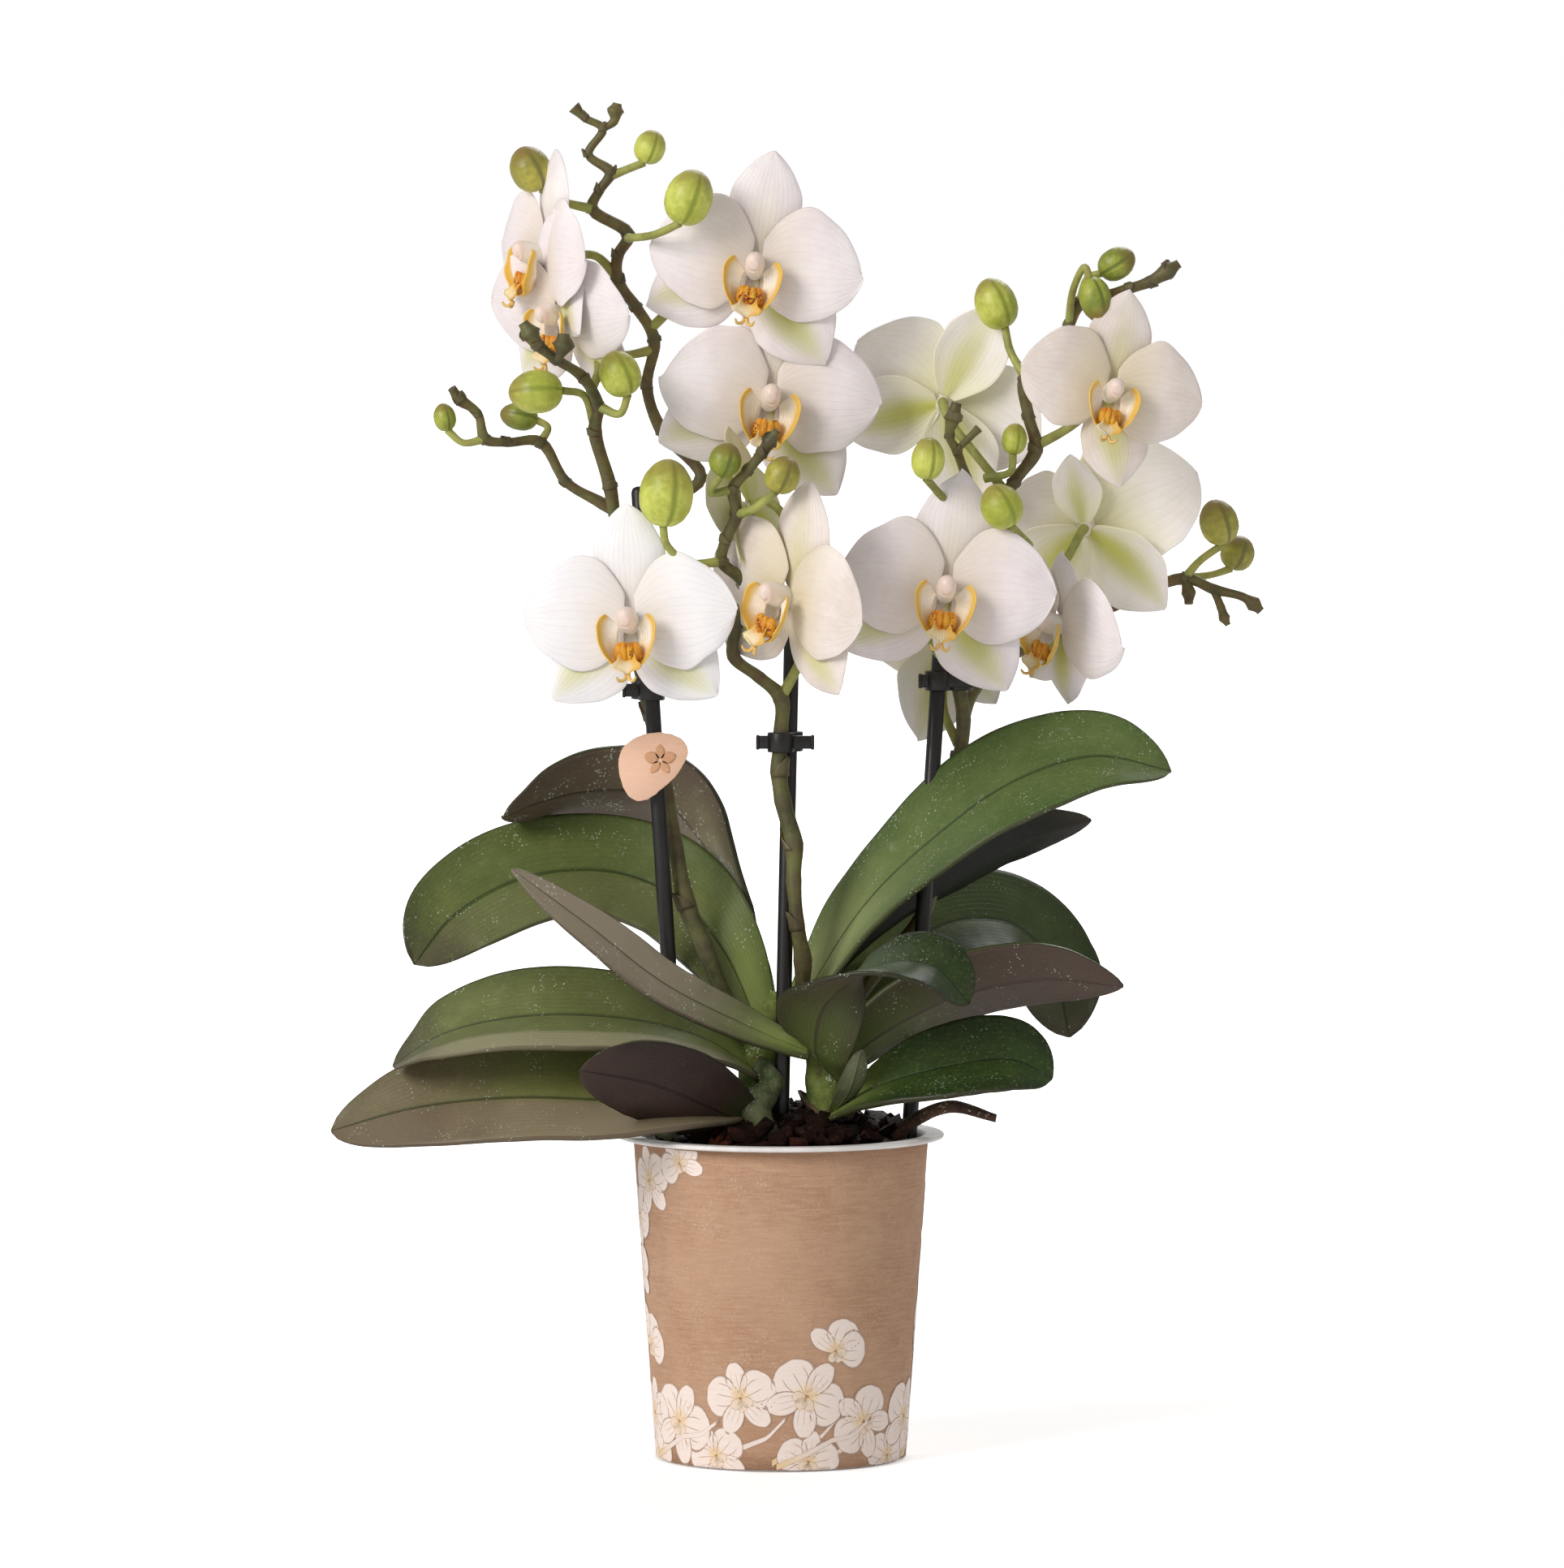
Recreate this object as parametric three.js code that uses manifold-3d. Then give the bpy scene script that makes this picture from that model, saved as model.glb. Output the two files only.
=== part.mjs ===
// A potted moth orchid: a plastic pot in a paper sleeve, bark mix, crown, leaves and roots,
// and three flower spikes clipped to stakes.
// Millimetres, +Z up, front towards -Y, origin at the middle of the pot's underside.
import * as THREE from 'three';
import { mergeVertices } from 'three/addons/utils/BufferGeometryUtils.js';
import Module from 'manifold-3d';

// ---------------------------------------------------------------- driving sizes
const POT_HEIGHT = 90;
const RIM_DIAMETER = 90;
const SLEEVE_TOP_DIAMETER = 81.5;
const SLEEVE_BASE_DIAMETER = 69;
const SLEEVE_THICKNESS = 0.6;
const CUP_WALL = 1.0;
const CUP_FLOOR = 1.4;
const FLANGE_THICKNESS = 1.5;
const DRAIN_HOLES = 6;
const DRAIN_DIAMETER = 5;
const MIX_MOUND = 5;
const CLEARANCE = 0.3;

const STAKE_DIAMETER = 4.4;
const STAKE_DEPTH = 45;
const STEM_SCALE = 1;
const LEAF_THICKNESS = 1.9;
const LEAF_SCALE = 1;
const BLOOM_SPAN = 57;
const TEPAL_THICKNESS = 1.1;
const BUD_SCALE = 1;

const ROUND = 36;
const STEM_SIDES = 5;
const STAKE_SIDES = 10;
const MIX_SIDES = 20;
const CHIPS = 11;

// Sizes that follow from the ones above. The plant's heights are given for a rim at RIM_LEVEL.
const RIM_LEVEL = 90;
const LIFT = POT_HEIGHT - RIM_LEVEL;
const RIM_RADIUS = RIM_DIAMETER / 2;
const SLEEVE_LOW = 0.6;
const SLEEVE_HIGH = POT_HEIGHT - FLANGE_THICKNESS - CLEARANCE;
const SLEEVE_SLOPE = (SLEEVE_TOP_DIAMETER - SLEEVE_BASE_DIAMETER) / 2 / POT_HEIGHT;
const sleeveRadius = (z) => SLEEVE_BASE_DIAMETER / 2 + SLEEVE_SLOPE * z;
const cupRadius = (z) => sleeveRadius(z) - SLEEVE_THICKNESS - CLEARANCE;
const cupInside = (z) => cupRadius(z) - CUP_WALL;
const MIX_EDGE = POT_HEIGHT - 3;
const soilHeight = (x, y) => {
  const share = Math.min(1, Math.hypot(x, y) / cupInside(MIX_EDGE));
  return MIX_EDGE + MIX_MOUND * (1 - share * share);
};

// ---------------------------------------------------------------- solids
const wasm = await Module();
wasm.setup();

function toSolid(geometry) {
  const bare = new THREE.BufferGeometry();
  const flat = geometry.index ? geometry.toNonIndexed() : geometry;
  bare.setAttribute('position', flat.getAttribute('position'));
  const merged = mergeVertices(bare, 1e-4);
  return new wasm.Manifold(new wasm.Mesh({
    numProp: 3,
    vertProperties: merged.attributes.position.array,
    triVerts: new Uint32Array(merged.index.array),
  }));
}

function toGeometry(solid) {
  const mesh = solid.getMesh();
  const geometry = new THREE.BufferGeometry();
  geometry.setAttribute('position', new THREE.BufferAttribute(new Float32Array(mesh.vertProperties), 3));
  geometry.setIndex(new THREE.BufferAttribute(new Uint32Array(mesh.triVerts), 1));
  geometry.computeVertexNormals();
  return geometry;
}

function signedVolume(points, faces) {
  let sum = 0;
  for (const [a, b, c] of faces) {
    sum += points[a].dot(new THREE.Vector3().crossVectors(points[b], points[c]));
  }
  return sum / 6;
}

// A closed body through a row of rings, each ring holding the same number of points.
function loft(rings) {
  const count = rings[0].length;
  const points = rings.flat();
  const faces = [];
  for (let r = 0; r + 1 < rings.length; r += 1) {
    for (let i = 0; i < count; i += 1) {
      const a = r * count + i;
      const b = r * count + (i + 1) % count;
      faces.push([a, b, b + count], [a, b + count, a + count]);
    }
  }
  for (const [ring, start] of [[rings[0], 0], [rings.at(-1), (rings.length - 1) * count]]) {
    const middle = ring.reduce((sum, p) => sum.add(p), new THREE.Vector3()).divideScalar(count);
    const hub = points.push(middle) - 1;
    for (let i = 0; i < count; i += 1) {
      const pair = [start + i, start + (i + 1) % count];
      faces.push(start === 0 ? [hub, pair[1], pair[0]] : [hub, pair[0], pair[1]]);
    }
  }
  if (signedVolume(points, faces) < 0) {
    faces.forEach((face) => face.reverse());
  }
  const geometry = new THREE.BufferGeometry();
  geometry.setAttribute('position', new THREE.Float32BufferAttribute(points.flatMap((p) => p.toArray()), 3));
  geometry.setIndex(faces.flat());
  return toSolid(geometry);
}

const vector = (values) => new THREE.Vector3(values[0], values[1], values[2]);
const unite = (solids) => solids.slice(1).reduce((sum, next) => sum.add(next), solids[0]);

// Points and widths spaced along a smooth curve through the route, whose stops are [x, y, z, radius].
function along(route, perSpan) {
  const curve = new THREE.CatmullRomCurve3(route.map(vector), false, 'centripetal');
  const steps = (route.length - 1) * perSpan;
  return Array.from({ length: steps + 1 }, (_, i) => {
    const place = i / perSpan;
    const low = Math.min(Math.floor(place), route.length - 2);
    return {
      point: curve.getPoint(i / steps),
      tangent: curve.getTangent(i / steps),
      radius: THREE.MathUtils.lerp(route[low][3], route[low + 1][3], place - low),
      share: i / steps,
    };
  });
}

// A round stem along a route.
function stem(route, grow = 0, perSpan = 2, sides = STEM_SIDES) {
  const stops = along(route, perSpan);
  const across = new THREE.Vector3(0, 1, 0);
  const rings = stops.map(({ point, tangent, radius }) => {
    across.addScaledVector(tangent, -across.dot(tangent)).normalize();
    const other = new THREE.Vector3().crossVectors(tangent, across);
    return Array.from({ length: sides }, (_, i) => {
      const turn = (i / sides) * Math.PI * 2;
      return point.clone()
        .addScaledVector(across, Math.cos(turn) * (radius * STEM_SCALE + grow))
        .addScaledVector(other, Math.sin(turn) * (radius * STEM_SCALE + grow));
    });
  });
  return loft(rings);
}

// ---------------------------------------------------------------- pot
function lathe(profile, sides = ROUND) {
  const points = profile.map(([radius, z]) => new THREE.Vector2(radius, z));
  const geometry = new THREE.LatheGeometry([...points, points[0]], sides);
  geometry.rotateX(Math.PI / 2);
  return toSolid(geometry);
}

function rod(diameter, low, high, x, y) {
  const geometry = new THREE.CylinderGeometry(diameter / 2, diameter / 2, high - low, STAKE_SIDES);
  geometry.rotateX(Math.PI / 2);
  geometry.translate(x, y, (low + high) / 2);
  return toSolid(geometry);
}

function potCup() {
  const under = POT_HEIGHT - FLANGE_THICKNESS;
  let cup = lathe([
    [0, 0], [cupRadius(0), 0], [cupRadius(under), under], [RIM_RADIUS, under],
    [RIM_RADIUS, POT_HEIGHT], [cupInside(POT_HEIGHT), POT_HEIGHT], [cupInside(CUP_FLOOR), CUP_FLOOR], [0, CUP_FLOOR],
  ]);
  for (let i = 0; i < DRAIN_HOLES; i += 1) {
    const turn = ((i + 0.5) / DRAIN_HOLES) * Math.PI * 2;
    const out = cupInside(0) * 0.62;
    cup = cup.subtract(rod(DRAIN_DIAMETER, -1, CUP_FLOOR + 1, Math.cos(turn) * out, Math.sin(turn) * out));
  }
  return cup;
}

function paperSleeve() {
  return lathe([
    [sleeveRadius(SLEEVE_LOW) - SLEEVE_THICKNESS, SLEEVE_LOW], [sleeveRadius(SLEEVE_LOW), SLEEVE_LOW],
    [sleeveRadius(SLEEVE_HIGH), SLEEVE_HIGH], [sleeveRadius(SLEEVE_HIGH) - SLEEVE_THICKNESS, SLEEVE_HIGH],
  ]);
}

// Bark chips stand proud of the mix, each one tipped its own way.
function barkChips() {
  const chips = [];
  for (let i = 0; i < CHIPS; i += 1) {
    const turn = i * 2.4 + 0.4;
    const out = 9 + (cupInside(MIX_EDGE) - 16) * Math.sqrt(i / CHIPS);
    const x = Math.cos(turn) * out;
    const y = Math.sin(turn) * out;
    const chip = new THREE.BoxGeometry(9 + (i % 3) * 2, 5 + (i % 4), 4 + (i % 2));
    chip.rotateX(0.35 * Math.sin(i * 1.7));
    chip.rotateY(0.4 * Math.cos(i * 2.3));
    chip.rotateZ(i * 1.1);
    chip.translate(x, y, soilHeight(x, y) - 0.6);
    chips.push(toSolid(chip));
  }
  return chips;
}

function pottingMix() {
  const low = CUP_FLOOR + CLEARANCE;
  const edge = (z) => cupInside(z) - CLEARANCE;
  const body = lathe([
    [0, low], [edge(low), low], [edge(MIX_EDGE), MIX_EDGE],
    [edge(MIX_EDGE) * 0.6, soilHeight(edge(MIX_EDGE) * 0.6, 0)], [0, soilHeight(0, 0)],
  ], MIX_SIDES);
  return unite([body, ...barkChips()]);
}

// ---------------------------------------------------------------- stakes, clips and tag
const STAKES = {
  stake_left: { foot: [-28, -4, RIM_LEVEL], head: [-39, -4, 268] },
  stake_centre: { foot: [0, -9, RIM_LEVEL], head: [3, -3, 228] },
  stake_right: { foot: [35.5, 3, RIM_LEVEL], head: [44, 10, 223] },
};
const CLIP_WALL = 1.4;
const CLIP_HEIGHT = 5.4;
const TAG_THICKNESS = 1.2;
const TAG_WIDTH = 19;

function stake({ foot, head }, grow = 0) {
  const radius = STAKE_DIAMETER / 2 / STEM_SCALE;
  const low = stakeAt({ foot, head }, RIM_LEVEL - STAKE_DEPTH).toArray();
  return stem([[...low, radius], [...head, radius]], grow, 1, STAKE_SIDES);
}

// Where a stake's middle is at a height.
function stakeAt({ foot, head }, z) {
  return vector(foot).lerp(vector(head), (z - foot[2]) / (head[2] - foot[2]));
}

// A snap clip: one loop round the stake, one round the flower stem, and a finger tab.
function clip(place, z, stemPoint, tab) {
  const low = z - CLIP_HEIGHT / 2;
  const high = z + CLIP_HEIGHT / 2;
  const outer = STAKE_DIAMETER + 2 * (CLIP_WALL + CLEARANCE);
  const post = stakeAt(place, z);
  const bar = new THREE.BoxGeometry(tab, 2.4, CLIP_HEIGHT * 0.7);
  bar.translate((post.x + stemPoint[0]) / 2, (post.y + stemPoint[1]) / 2, z);
  return unite([
    rod(outer, low, high, post.x, post.y), rod(outer, low, high, stemPoint[0], stemPoint[1]), toSolid(bar),
  ]);
}

// An egg-shaped card in front of its stake, with a loop behind that the stake goes through.
function plantTag(z) {
  const post = stakeAt(STAKES.stake_left, z);
  const outline = new THREE.Shape();
  const half = TAG_WIDTH / 2;
  outline.moveTo(0, -half);
  outline.bezierCurveTo(half * 0.62, -half, half * 1.05, half * 0.1, half, half * 0.55);
  outline.bezierCurveTo(half * 0.9, half * 1.05, -half * 0.35, half * 1.1, -half * 0.75, half * 0.72);
  outline.bezierCurveTo(-half * 1.25, half * 0.15, -half * 0.7, -half, 0, -half);
  const card = new THREE.ExtrudeGeometry(outline, { depth: TAG_THICKNESS, bevelEnabled: false, curveSegments: 7 });
  card.rotateX(Math.PI / 2);
  const front = post.y - STAKE_DIAMETER / 2 - CLEARANCE;
  card.translate(post.x, front, z);
  const loop = rod(STAKE_DIAMETER + 2 * (CLIP_WALL + CLEARANCE), z - 3, z + 3, post.x, post.y);
  return unite([toSolid(card), loop]);
}

// ---------------------------------------------------------------- crowns and roots
const CROWNS = {
  crown_left: [[-4, -2, 80, 5], [-7, -3, 98, 5], [-6, 0, 110, 5.5], [-3, 3, 121, 4], [-1, 4, 128, 2.6]],
  crown_right: [[14, 0, 80, 6], [13, -1, 97, 6.4], [12, -2, 108, 5], [10, -1, 117, 3]],
};
const ROOTS = {
  root_front: [[-5, -7, 108, 2], [-3.5, -14, 102, 3], [-6, -19, 95, 3.1], [-4, -23, 86, 2.6], [-4, -24, 78, 2]],
  root_left: [[-25, -13, 80, 1.8], [-31, -14, 91, 2.2], [-43, -17, 95, 1.9], [-51, -17, 99, 0.8]],
  root_right: [[27, -6, 80, 1.6], [33, -8, 91, 1.9], [46, -12, 98, 1.8], [59, -14, 95, 1.2]],
};

// ---------------------------------------------------------------- leaves
// spine: points from base to tip. tilt: degrees that the upper face leans to the front, base and tip.
const LEAVES = {
  leaf_left_back: {
    spine: [[-2, 10, 121], [-10, 20, 147], [-21, 27, 168], [-34, 28, 181], [-51, 26, 183], [-67, 20, 180], [-77, 14, 176]],
    half: 15, tilt: [-50, -40],
  },
  leaf_left_upper: {
    spine: [[-6, 0, 118], [-15, 5, 137], [-28, 15, 151], [-46, 22, 157], [-70, 18, 156], [-90, 10, 148], [-101, 2, 135]],
    half: 21, tilt: [40, 46],
  },
  leaf_left_slim: {
    spine: [[8, -13, 113], [-10, -19, 121], [-32, -28, 133], [-52, -34, 149], [-73, -38, 165]],
    half: 7, tilt: [60, 66],
  },
  leaf_left_middle: {
    spine: [[-7, -3, 107], [-22, -15, 117], [-43, -24, 123], [-69, -28, 124], [-92, -26, 119], [-106, -22, 110]],
    half: 17, tilt: [40, 30],
  },
  leaf_left_low: {
    spine: [[-8, -3, 97], [-24, -20, 100], [-46, -28, 101], [-72, -30, 102], [-99, -26, 99], [-123, -20, 92]],
    half: 18, tilt: [30, 52],
  },
  leaf_front_short: {
    spine: [[-7, -10, 92], [-20, -30, 100], [-36, -46, 108], [-54, -56, 112]],
    half: 13, tilt: [-40, -66],
  },
  leaf_right_upper: {
    spine: [[4, 3, 122], [23, 0, 152], [42, -4, 171], [64, -8, 187], [86, -10, 194], [107, -10, 190]],
    half: 19, tilt: [40, 44],
  },
  leaf_right_second: {
    spine: [[1, 8, 121], [29, 12, 146], [51, 16, 160], [69, 18, 170], [86, 18, 175]],
    half: 13, tilt: [-20, -38],
  },
  leaf_right_back: {
    spine: [[12, 4, 110], [29, 24, 134], [49, 40, 145], [68, 48, 143], [79, 50, 130], [76, 48, 110]],
    half: 17, tilt: [40, 50],
  },
  leaf_right_purple: {
    spine: [[13, -2, 106], [26, -5, 117], [47, -7, 128], [71, -8, 133], [94, -10, 131]],
    half: 14, tilt: [-35, -52],
  },
  leaf_right_front: {
    spine: [[15, -7, 106], [10, -22, 115], [13, -36, 130], [27, -43, 139], [41, -45, 139], [51, -45, 129]],
    half: 14, tilt: [-40, 50],
  },
  leaf_right_low: {
    spine: [[13, -7, 95], [27, -18, 104], [46, -24, 110], [63, -26, 112], [74, -26, 107]],
    half: 15, tilt: [30, 46],
  },
  leaf_sprout: {
    spine: [[14, -9, 96], [19, -20, 104], [22, -27, 115]],
    half: 3.6, tilt: [0, 0],
  },
};

// Width along a leaf as a share of its widest: narrow where it clasps the crown, round at the tip.
function leafOutline(share) {
  const widest = 0.55;
  if (share < widest) {
    return 0.32 + 0.68 * Math.sin((share / widest) * Math.PI / 2);
  }
  return Math.max(0.06, (1 - ((share - widest) / (1 - widest)) ** 2.6) ** 0.62);
}

// The blade of a leaf: a shallow trough with a keel under the midrib and thin edges.
function leaf({ spine, half, tilt }, grow = 0) {
  const stops = along(spine.map((p) => [...p, 0]), 2);
  const side = Math.sign(spine[0][0] - spine.at(-1)[0]);
  const rings = stops.map(({ point, tangent, share }) => {
    const flat = new THREE.Vector3(0, 0, 1).cross(tangent).multiplyScalar(-side).normalize();
    const lean = THREE.MathUtils.degToRad(THREE.MathUtils.lerp(tilt[0], tilt[1], share));
    const across = flat.applyAxisAngle(tangent, -lean * side);
    const face = new THREE.Vector3().crossVectors(across, tangent).multiplyScalar(side);
    const width = half * LEAF_SCALE * leafOutline(share) + grow;
    const thick = (LEAF_THICKNESS / 2) * (1 - 0.45 * share) + grow;
    const fold = width * 0.16;
    const section = [
      [-width, fold], [-width * 0.5, fold * 0.45 + thick], [0, thick * 0.5],
      [width * 0.5, fold * 0.45 + thick], [width, fold], [0, -thick * 1.5],
    ];
    return section.map(([a, n]) => point.clone().addScaledVector(across, a).addScaledVector(face, n));
  });
  return loft(rings);
}

// ---------------------------------------------------------------- blooms
// centre: where the column meets the petals. facing: degrees to the right of the front and upwards.
// roll: degrees anticlockwise. stalk: the points its stalk runs through from its spike.
// tepals: where a bloom differs from the usual spread.
const BLOOMS = {
  bloom_top_centre: { centre: [-7, -6, 328], facing: [-4, -4], roll: -9, size: 1, spike: 'left',
    stalk: [[-36, 16, 311, 1.4], [-24, 13, 322, 1.3], [-13, 8, 327, 1.2]],
    tepals: { left_sepal: [-152, 32], right_sepal: [-46, 33] } },
  bloom_centre: { centre: [-3, 0, 292], facing: [2, -6], roll: -8, size: 1.03, spike: 'left',
    stalk: [[-30, 16, 279, 1.4], [-18, 15, 284, 1.3], [-8, 12, 289, 1.2]],
    tepals: { left_sepal: [-150, 32], right_sepal: [-48, 32] } },
  bloom_top_left: { centre: [-66, 6, 331], facing: [-64, 0], roll: -6, size: 0.92, spike: 'left',
    stalk: [[-45, 14, 325, 1.4], [-51, 14, 331, 1.2]] },
  bloom_left: { centre: [-61, 1, 315], facing: [-44, -14], roll: -4, size: 0.9, spike: 'left',
    stalk: [[-52, -11, 294, 1.4], [-50, -2, 301, 1.2]] },
  bloom_front_left: { centre: [-41, -32, 232], facing: [-8, -4], roll: 2, size: 1, spike: 'left',
    stalk: [[-41, 2, 232, 1.5], [-41, -10, 232, 1.3]] },
  bloom_middle: { centre: [1, -34, 239], facing: [-46, -4], roll: -16, size: 1, spike: 'centre',
    stalk: [[0, -9, 210, 1.5], [6, -11, 222, 1.3], [9, -15, 233, 1.3]] },
  bloom_small_back: { centre: [-10, -10, 262], facing: [-118, -18], roll: 0, size: 0.72, spike: 'centre',
    stalk: [[-9, -21, 242, 1.4], [0, -19, 248, 1.3], [2, -15, 258, 1.2]] },
  bloom_right: { centre: [45, -18, 240], facing: [0, -4], roll: -7, size: 1.02, spike: 'right',
    stalk: [[49, 12, 216, 1.5], [42, 6, 224, 1.3], [42, -2, 236, 1.2]],
    tepals: { left_sepal: [-144, 32], right_sepal: [-52, 32] } },
  bloom_right_back: { centre: [45, 16, 291], facing: [176, 4], roll: 30, size: 0.98, spike: 'right',
    stalk: [[62, 3, 266, 1.4], [54, 2, 276, 1.2], [47, 5, 285, 1.2]] },
  bloom_upper_right: { centre: [90, -16, 294], facing: [10, -2], roll: -12, size: 0.88, spike: 'right',
    stalk: [[70, 0, 279, 1.5], [79, 0, 284, 1.3], [86, -4, 290, 1.2]],
    tepals: { left_sepal: [-156, 22], right_sepal: [-70, 30] } },
  bloom_far_right: { centre: [85, 26, 257], facing: [164, 20], roll: 0, size: 1, spike: 'right',
    stalk: [[61, 34, 218, 1.4], [68, 22, 230, 1.3], [77, 14, 244, 1.2]],
    tepals: { dorsal: [84, 22], left_petal: [154, 36], right_petal: [8, 24], left_sepal: [-132, 32] } },
  bloom_low_right: { centre: [76, 6, 230], facing: [-50, -8], roll: -16, size: 0.9, spike: 'right',
    stalk: [[77, 44, 225, 1.4], [88, 30, 228, 1.2]],
    tepals: { left_sepal: [-120, 26], right_sepal: [-80, 26], dorsal: [100, 22] } },
  bloom_low_back: { centre: [46, 32, 226], facing: [-160, -6], roll: 0, size: 0.84, spike: 'right',
    stalk: [[49, 15, 196, 1.4], [45, 17, 206, 1.2], [46, 22, 218, 1.2]],
    tepals: { right_sepal: [-70, 37], left_sepal: [-122, 28] } },
};
const HUB = 4.6;

// The usual spread of the five tepals: angle from the right and length.
const SPREAD = {
  dorsal: [90, 29], right_petal: [2, 29.5], left_petal: [178, 29.5], right_sepal: [-40, 31], left_sepal: [-140, 31],
};
const SEPAL_SETBACK = 3;
const PETAL_SETBACK = 0.6;

// A tepal's outline: how far out, how wide and how far forward each station is, as shares of its length.
const SEPAL = [[0.05, 0.05, 0], [0.3, 0.25, 0.02], [0.65, 0.31, 0.02], [0.88, 0.21, -0.01], [1, 0.07, -0.04]];
const PETAL = [[0.05, 0.04, 0.03], [0.24, 0.3, 0.06], [0.55, 0.46, 0.07], [0.85, 0.36, 0.04], [1, 0.12, 0]];

// A thin pointed-oval section at each station, [out, half, forward], turned to its place round the hub.
function tepal(name, angle, length, grow) {
  const petal = name.endsWith('petal');
  const turn = THREE.MathUtils.degToRad(angle);
  const out = new THREE.Vector3(Math.cos(turn), Math.sin(turn), 0);
  const across = new THREE.Vector3(-Math.sin(turn), Math.cos(turn), 0);
  const front = new THREE.Vector3(0, 0, 1);
  const thick = TEPAL_THICKNESS / 2 + grow;
  return loft((petal ? PETAL : SEPAL).map(([reach, half, forward]) => {
    const raise = forward * length - (petal ? PETAL_SETBACK : SEPAL_SETBACK);
    const middle = out.clone().multiplyScalar(reach * length).addScaledVector(front, raise);
    const width = half * length + grow;
    const section = [[-width, -0.12 * width], [0, thick], [width, -0.12 * width], [0, -thick]];
    return section.map(([a, n]) => middle.clone().addScaledVector(across, a).addScaledVector(front, n));
  }));
}

// The lip's middle lobe juts forward and down; its two side lobes stand up round the column.
function lip(unit, grow) {
  const middle = [[0, -1, 0, 2.2, 1], [0, -5, 4, 3.4, 0.8], [0, -9, 7, 3, 0.7], [0, -12, 8.5, 0.8, 0.5]]
    .map(([x, y, z, half, thick]) => [
      [x - half - grow, y, z], [x, y + thick + grow, z + thick], [x + half + grow, y, z],
      [x, y - thick - grow, z - thick],
    ].map((p) => vector(p).multiplyScalar(unit)));
  const sides = [-1, 1].map((hand) => stem([
    [hand * 1.4, -4, 1.5, 1], [hand * 5.5, -3, 5, 1.9], [hand * 7, 2.5, 7.5, 1],
  ].map(([x, y, z, r]) => [x * unit, y * unit, z * unit, r]), grow, 1, 4));
  return [loft(middle), ...sides];
}

// Local frame of a bloom: x to its right, y up, z the way it faces.
function bloomFrame({ centre, facing, roll }) {
  const [right, up] = facing.map((angle) => THREE.MathUtils.degToRad(angle));
  const face = new THREE.Vector3(Math.sin(right) * Math.cos(up), -Math.cos(right) * Math.cos(up), Math.sin(up));
  const side = new THREE.Vector3(Math.cos(right), Math.sin(right), 0);
  side.applyAxisAngle(face, THREE.MathUtils.degToRad(roll));
  const top = new THREE.Vector3().crossVectors(face, side);
  return new THREE.Matrix4().makeBasis(side, top, face).setPosition(vector(centre));
}

function bloom(place, grow = 0) {
  const unit = (BLOOM_SPAN / 57) * place.size;
  const spread = { ...SPREAD, ...place.tepals };
  const column = [[0, 0, -HUB * unit, 1.5], [0, 0, -1, 2.8], [0, 0.6, 2, 2.4], [0, 0, 6.5 * unit, 1.7]];
  const solid = unite([
    stem(column, grow, 1),
    ...Object.entries(spread).map(([name, [angle, length]]) => tepal(name, angle, length * unit, grow)),
    ...lip(unit, grow),
  ]);
  return solid.transform(bloomFrame(place).elements);
}

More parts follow.
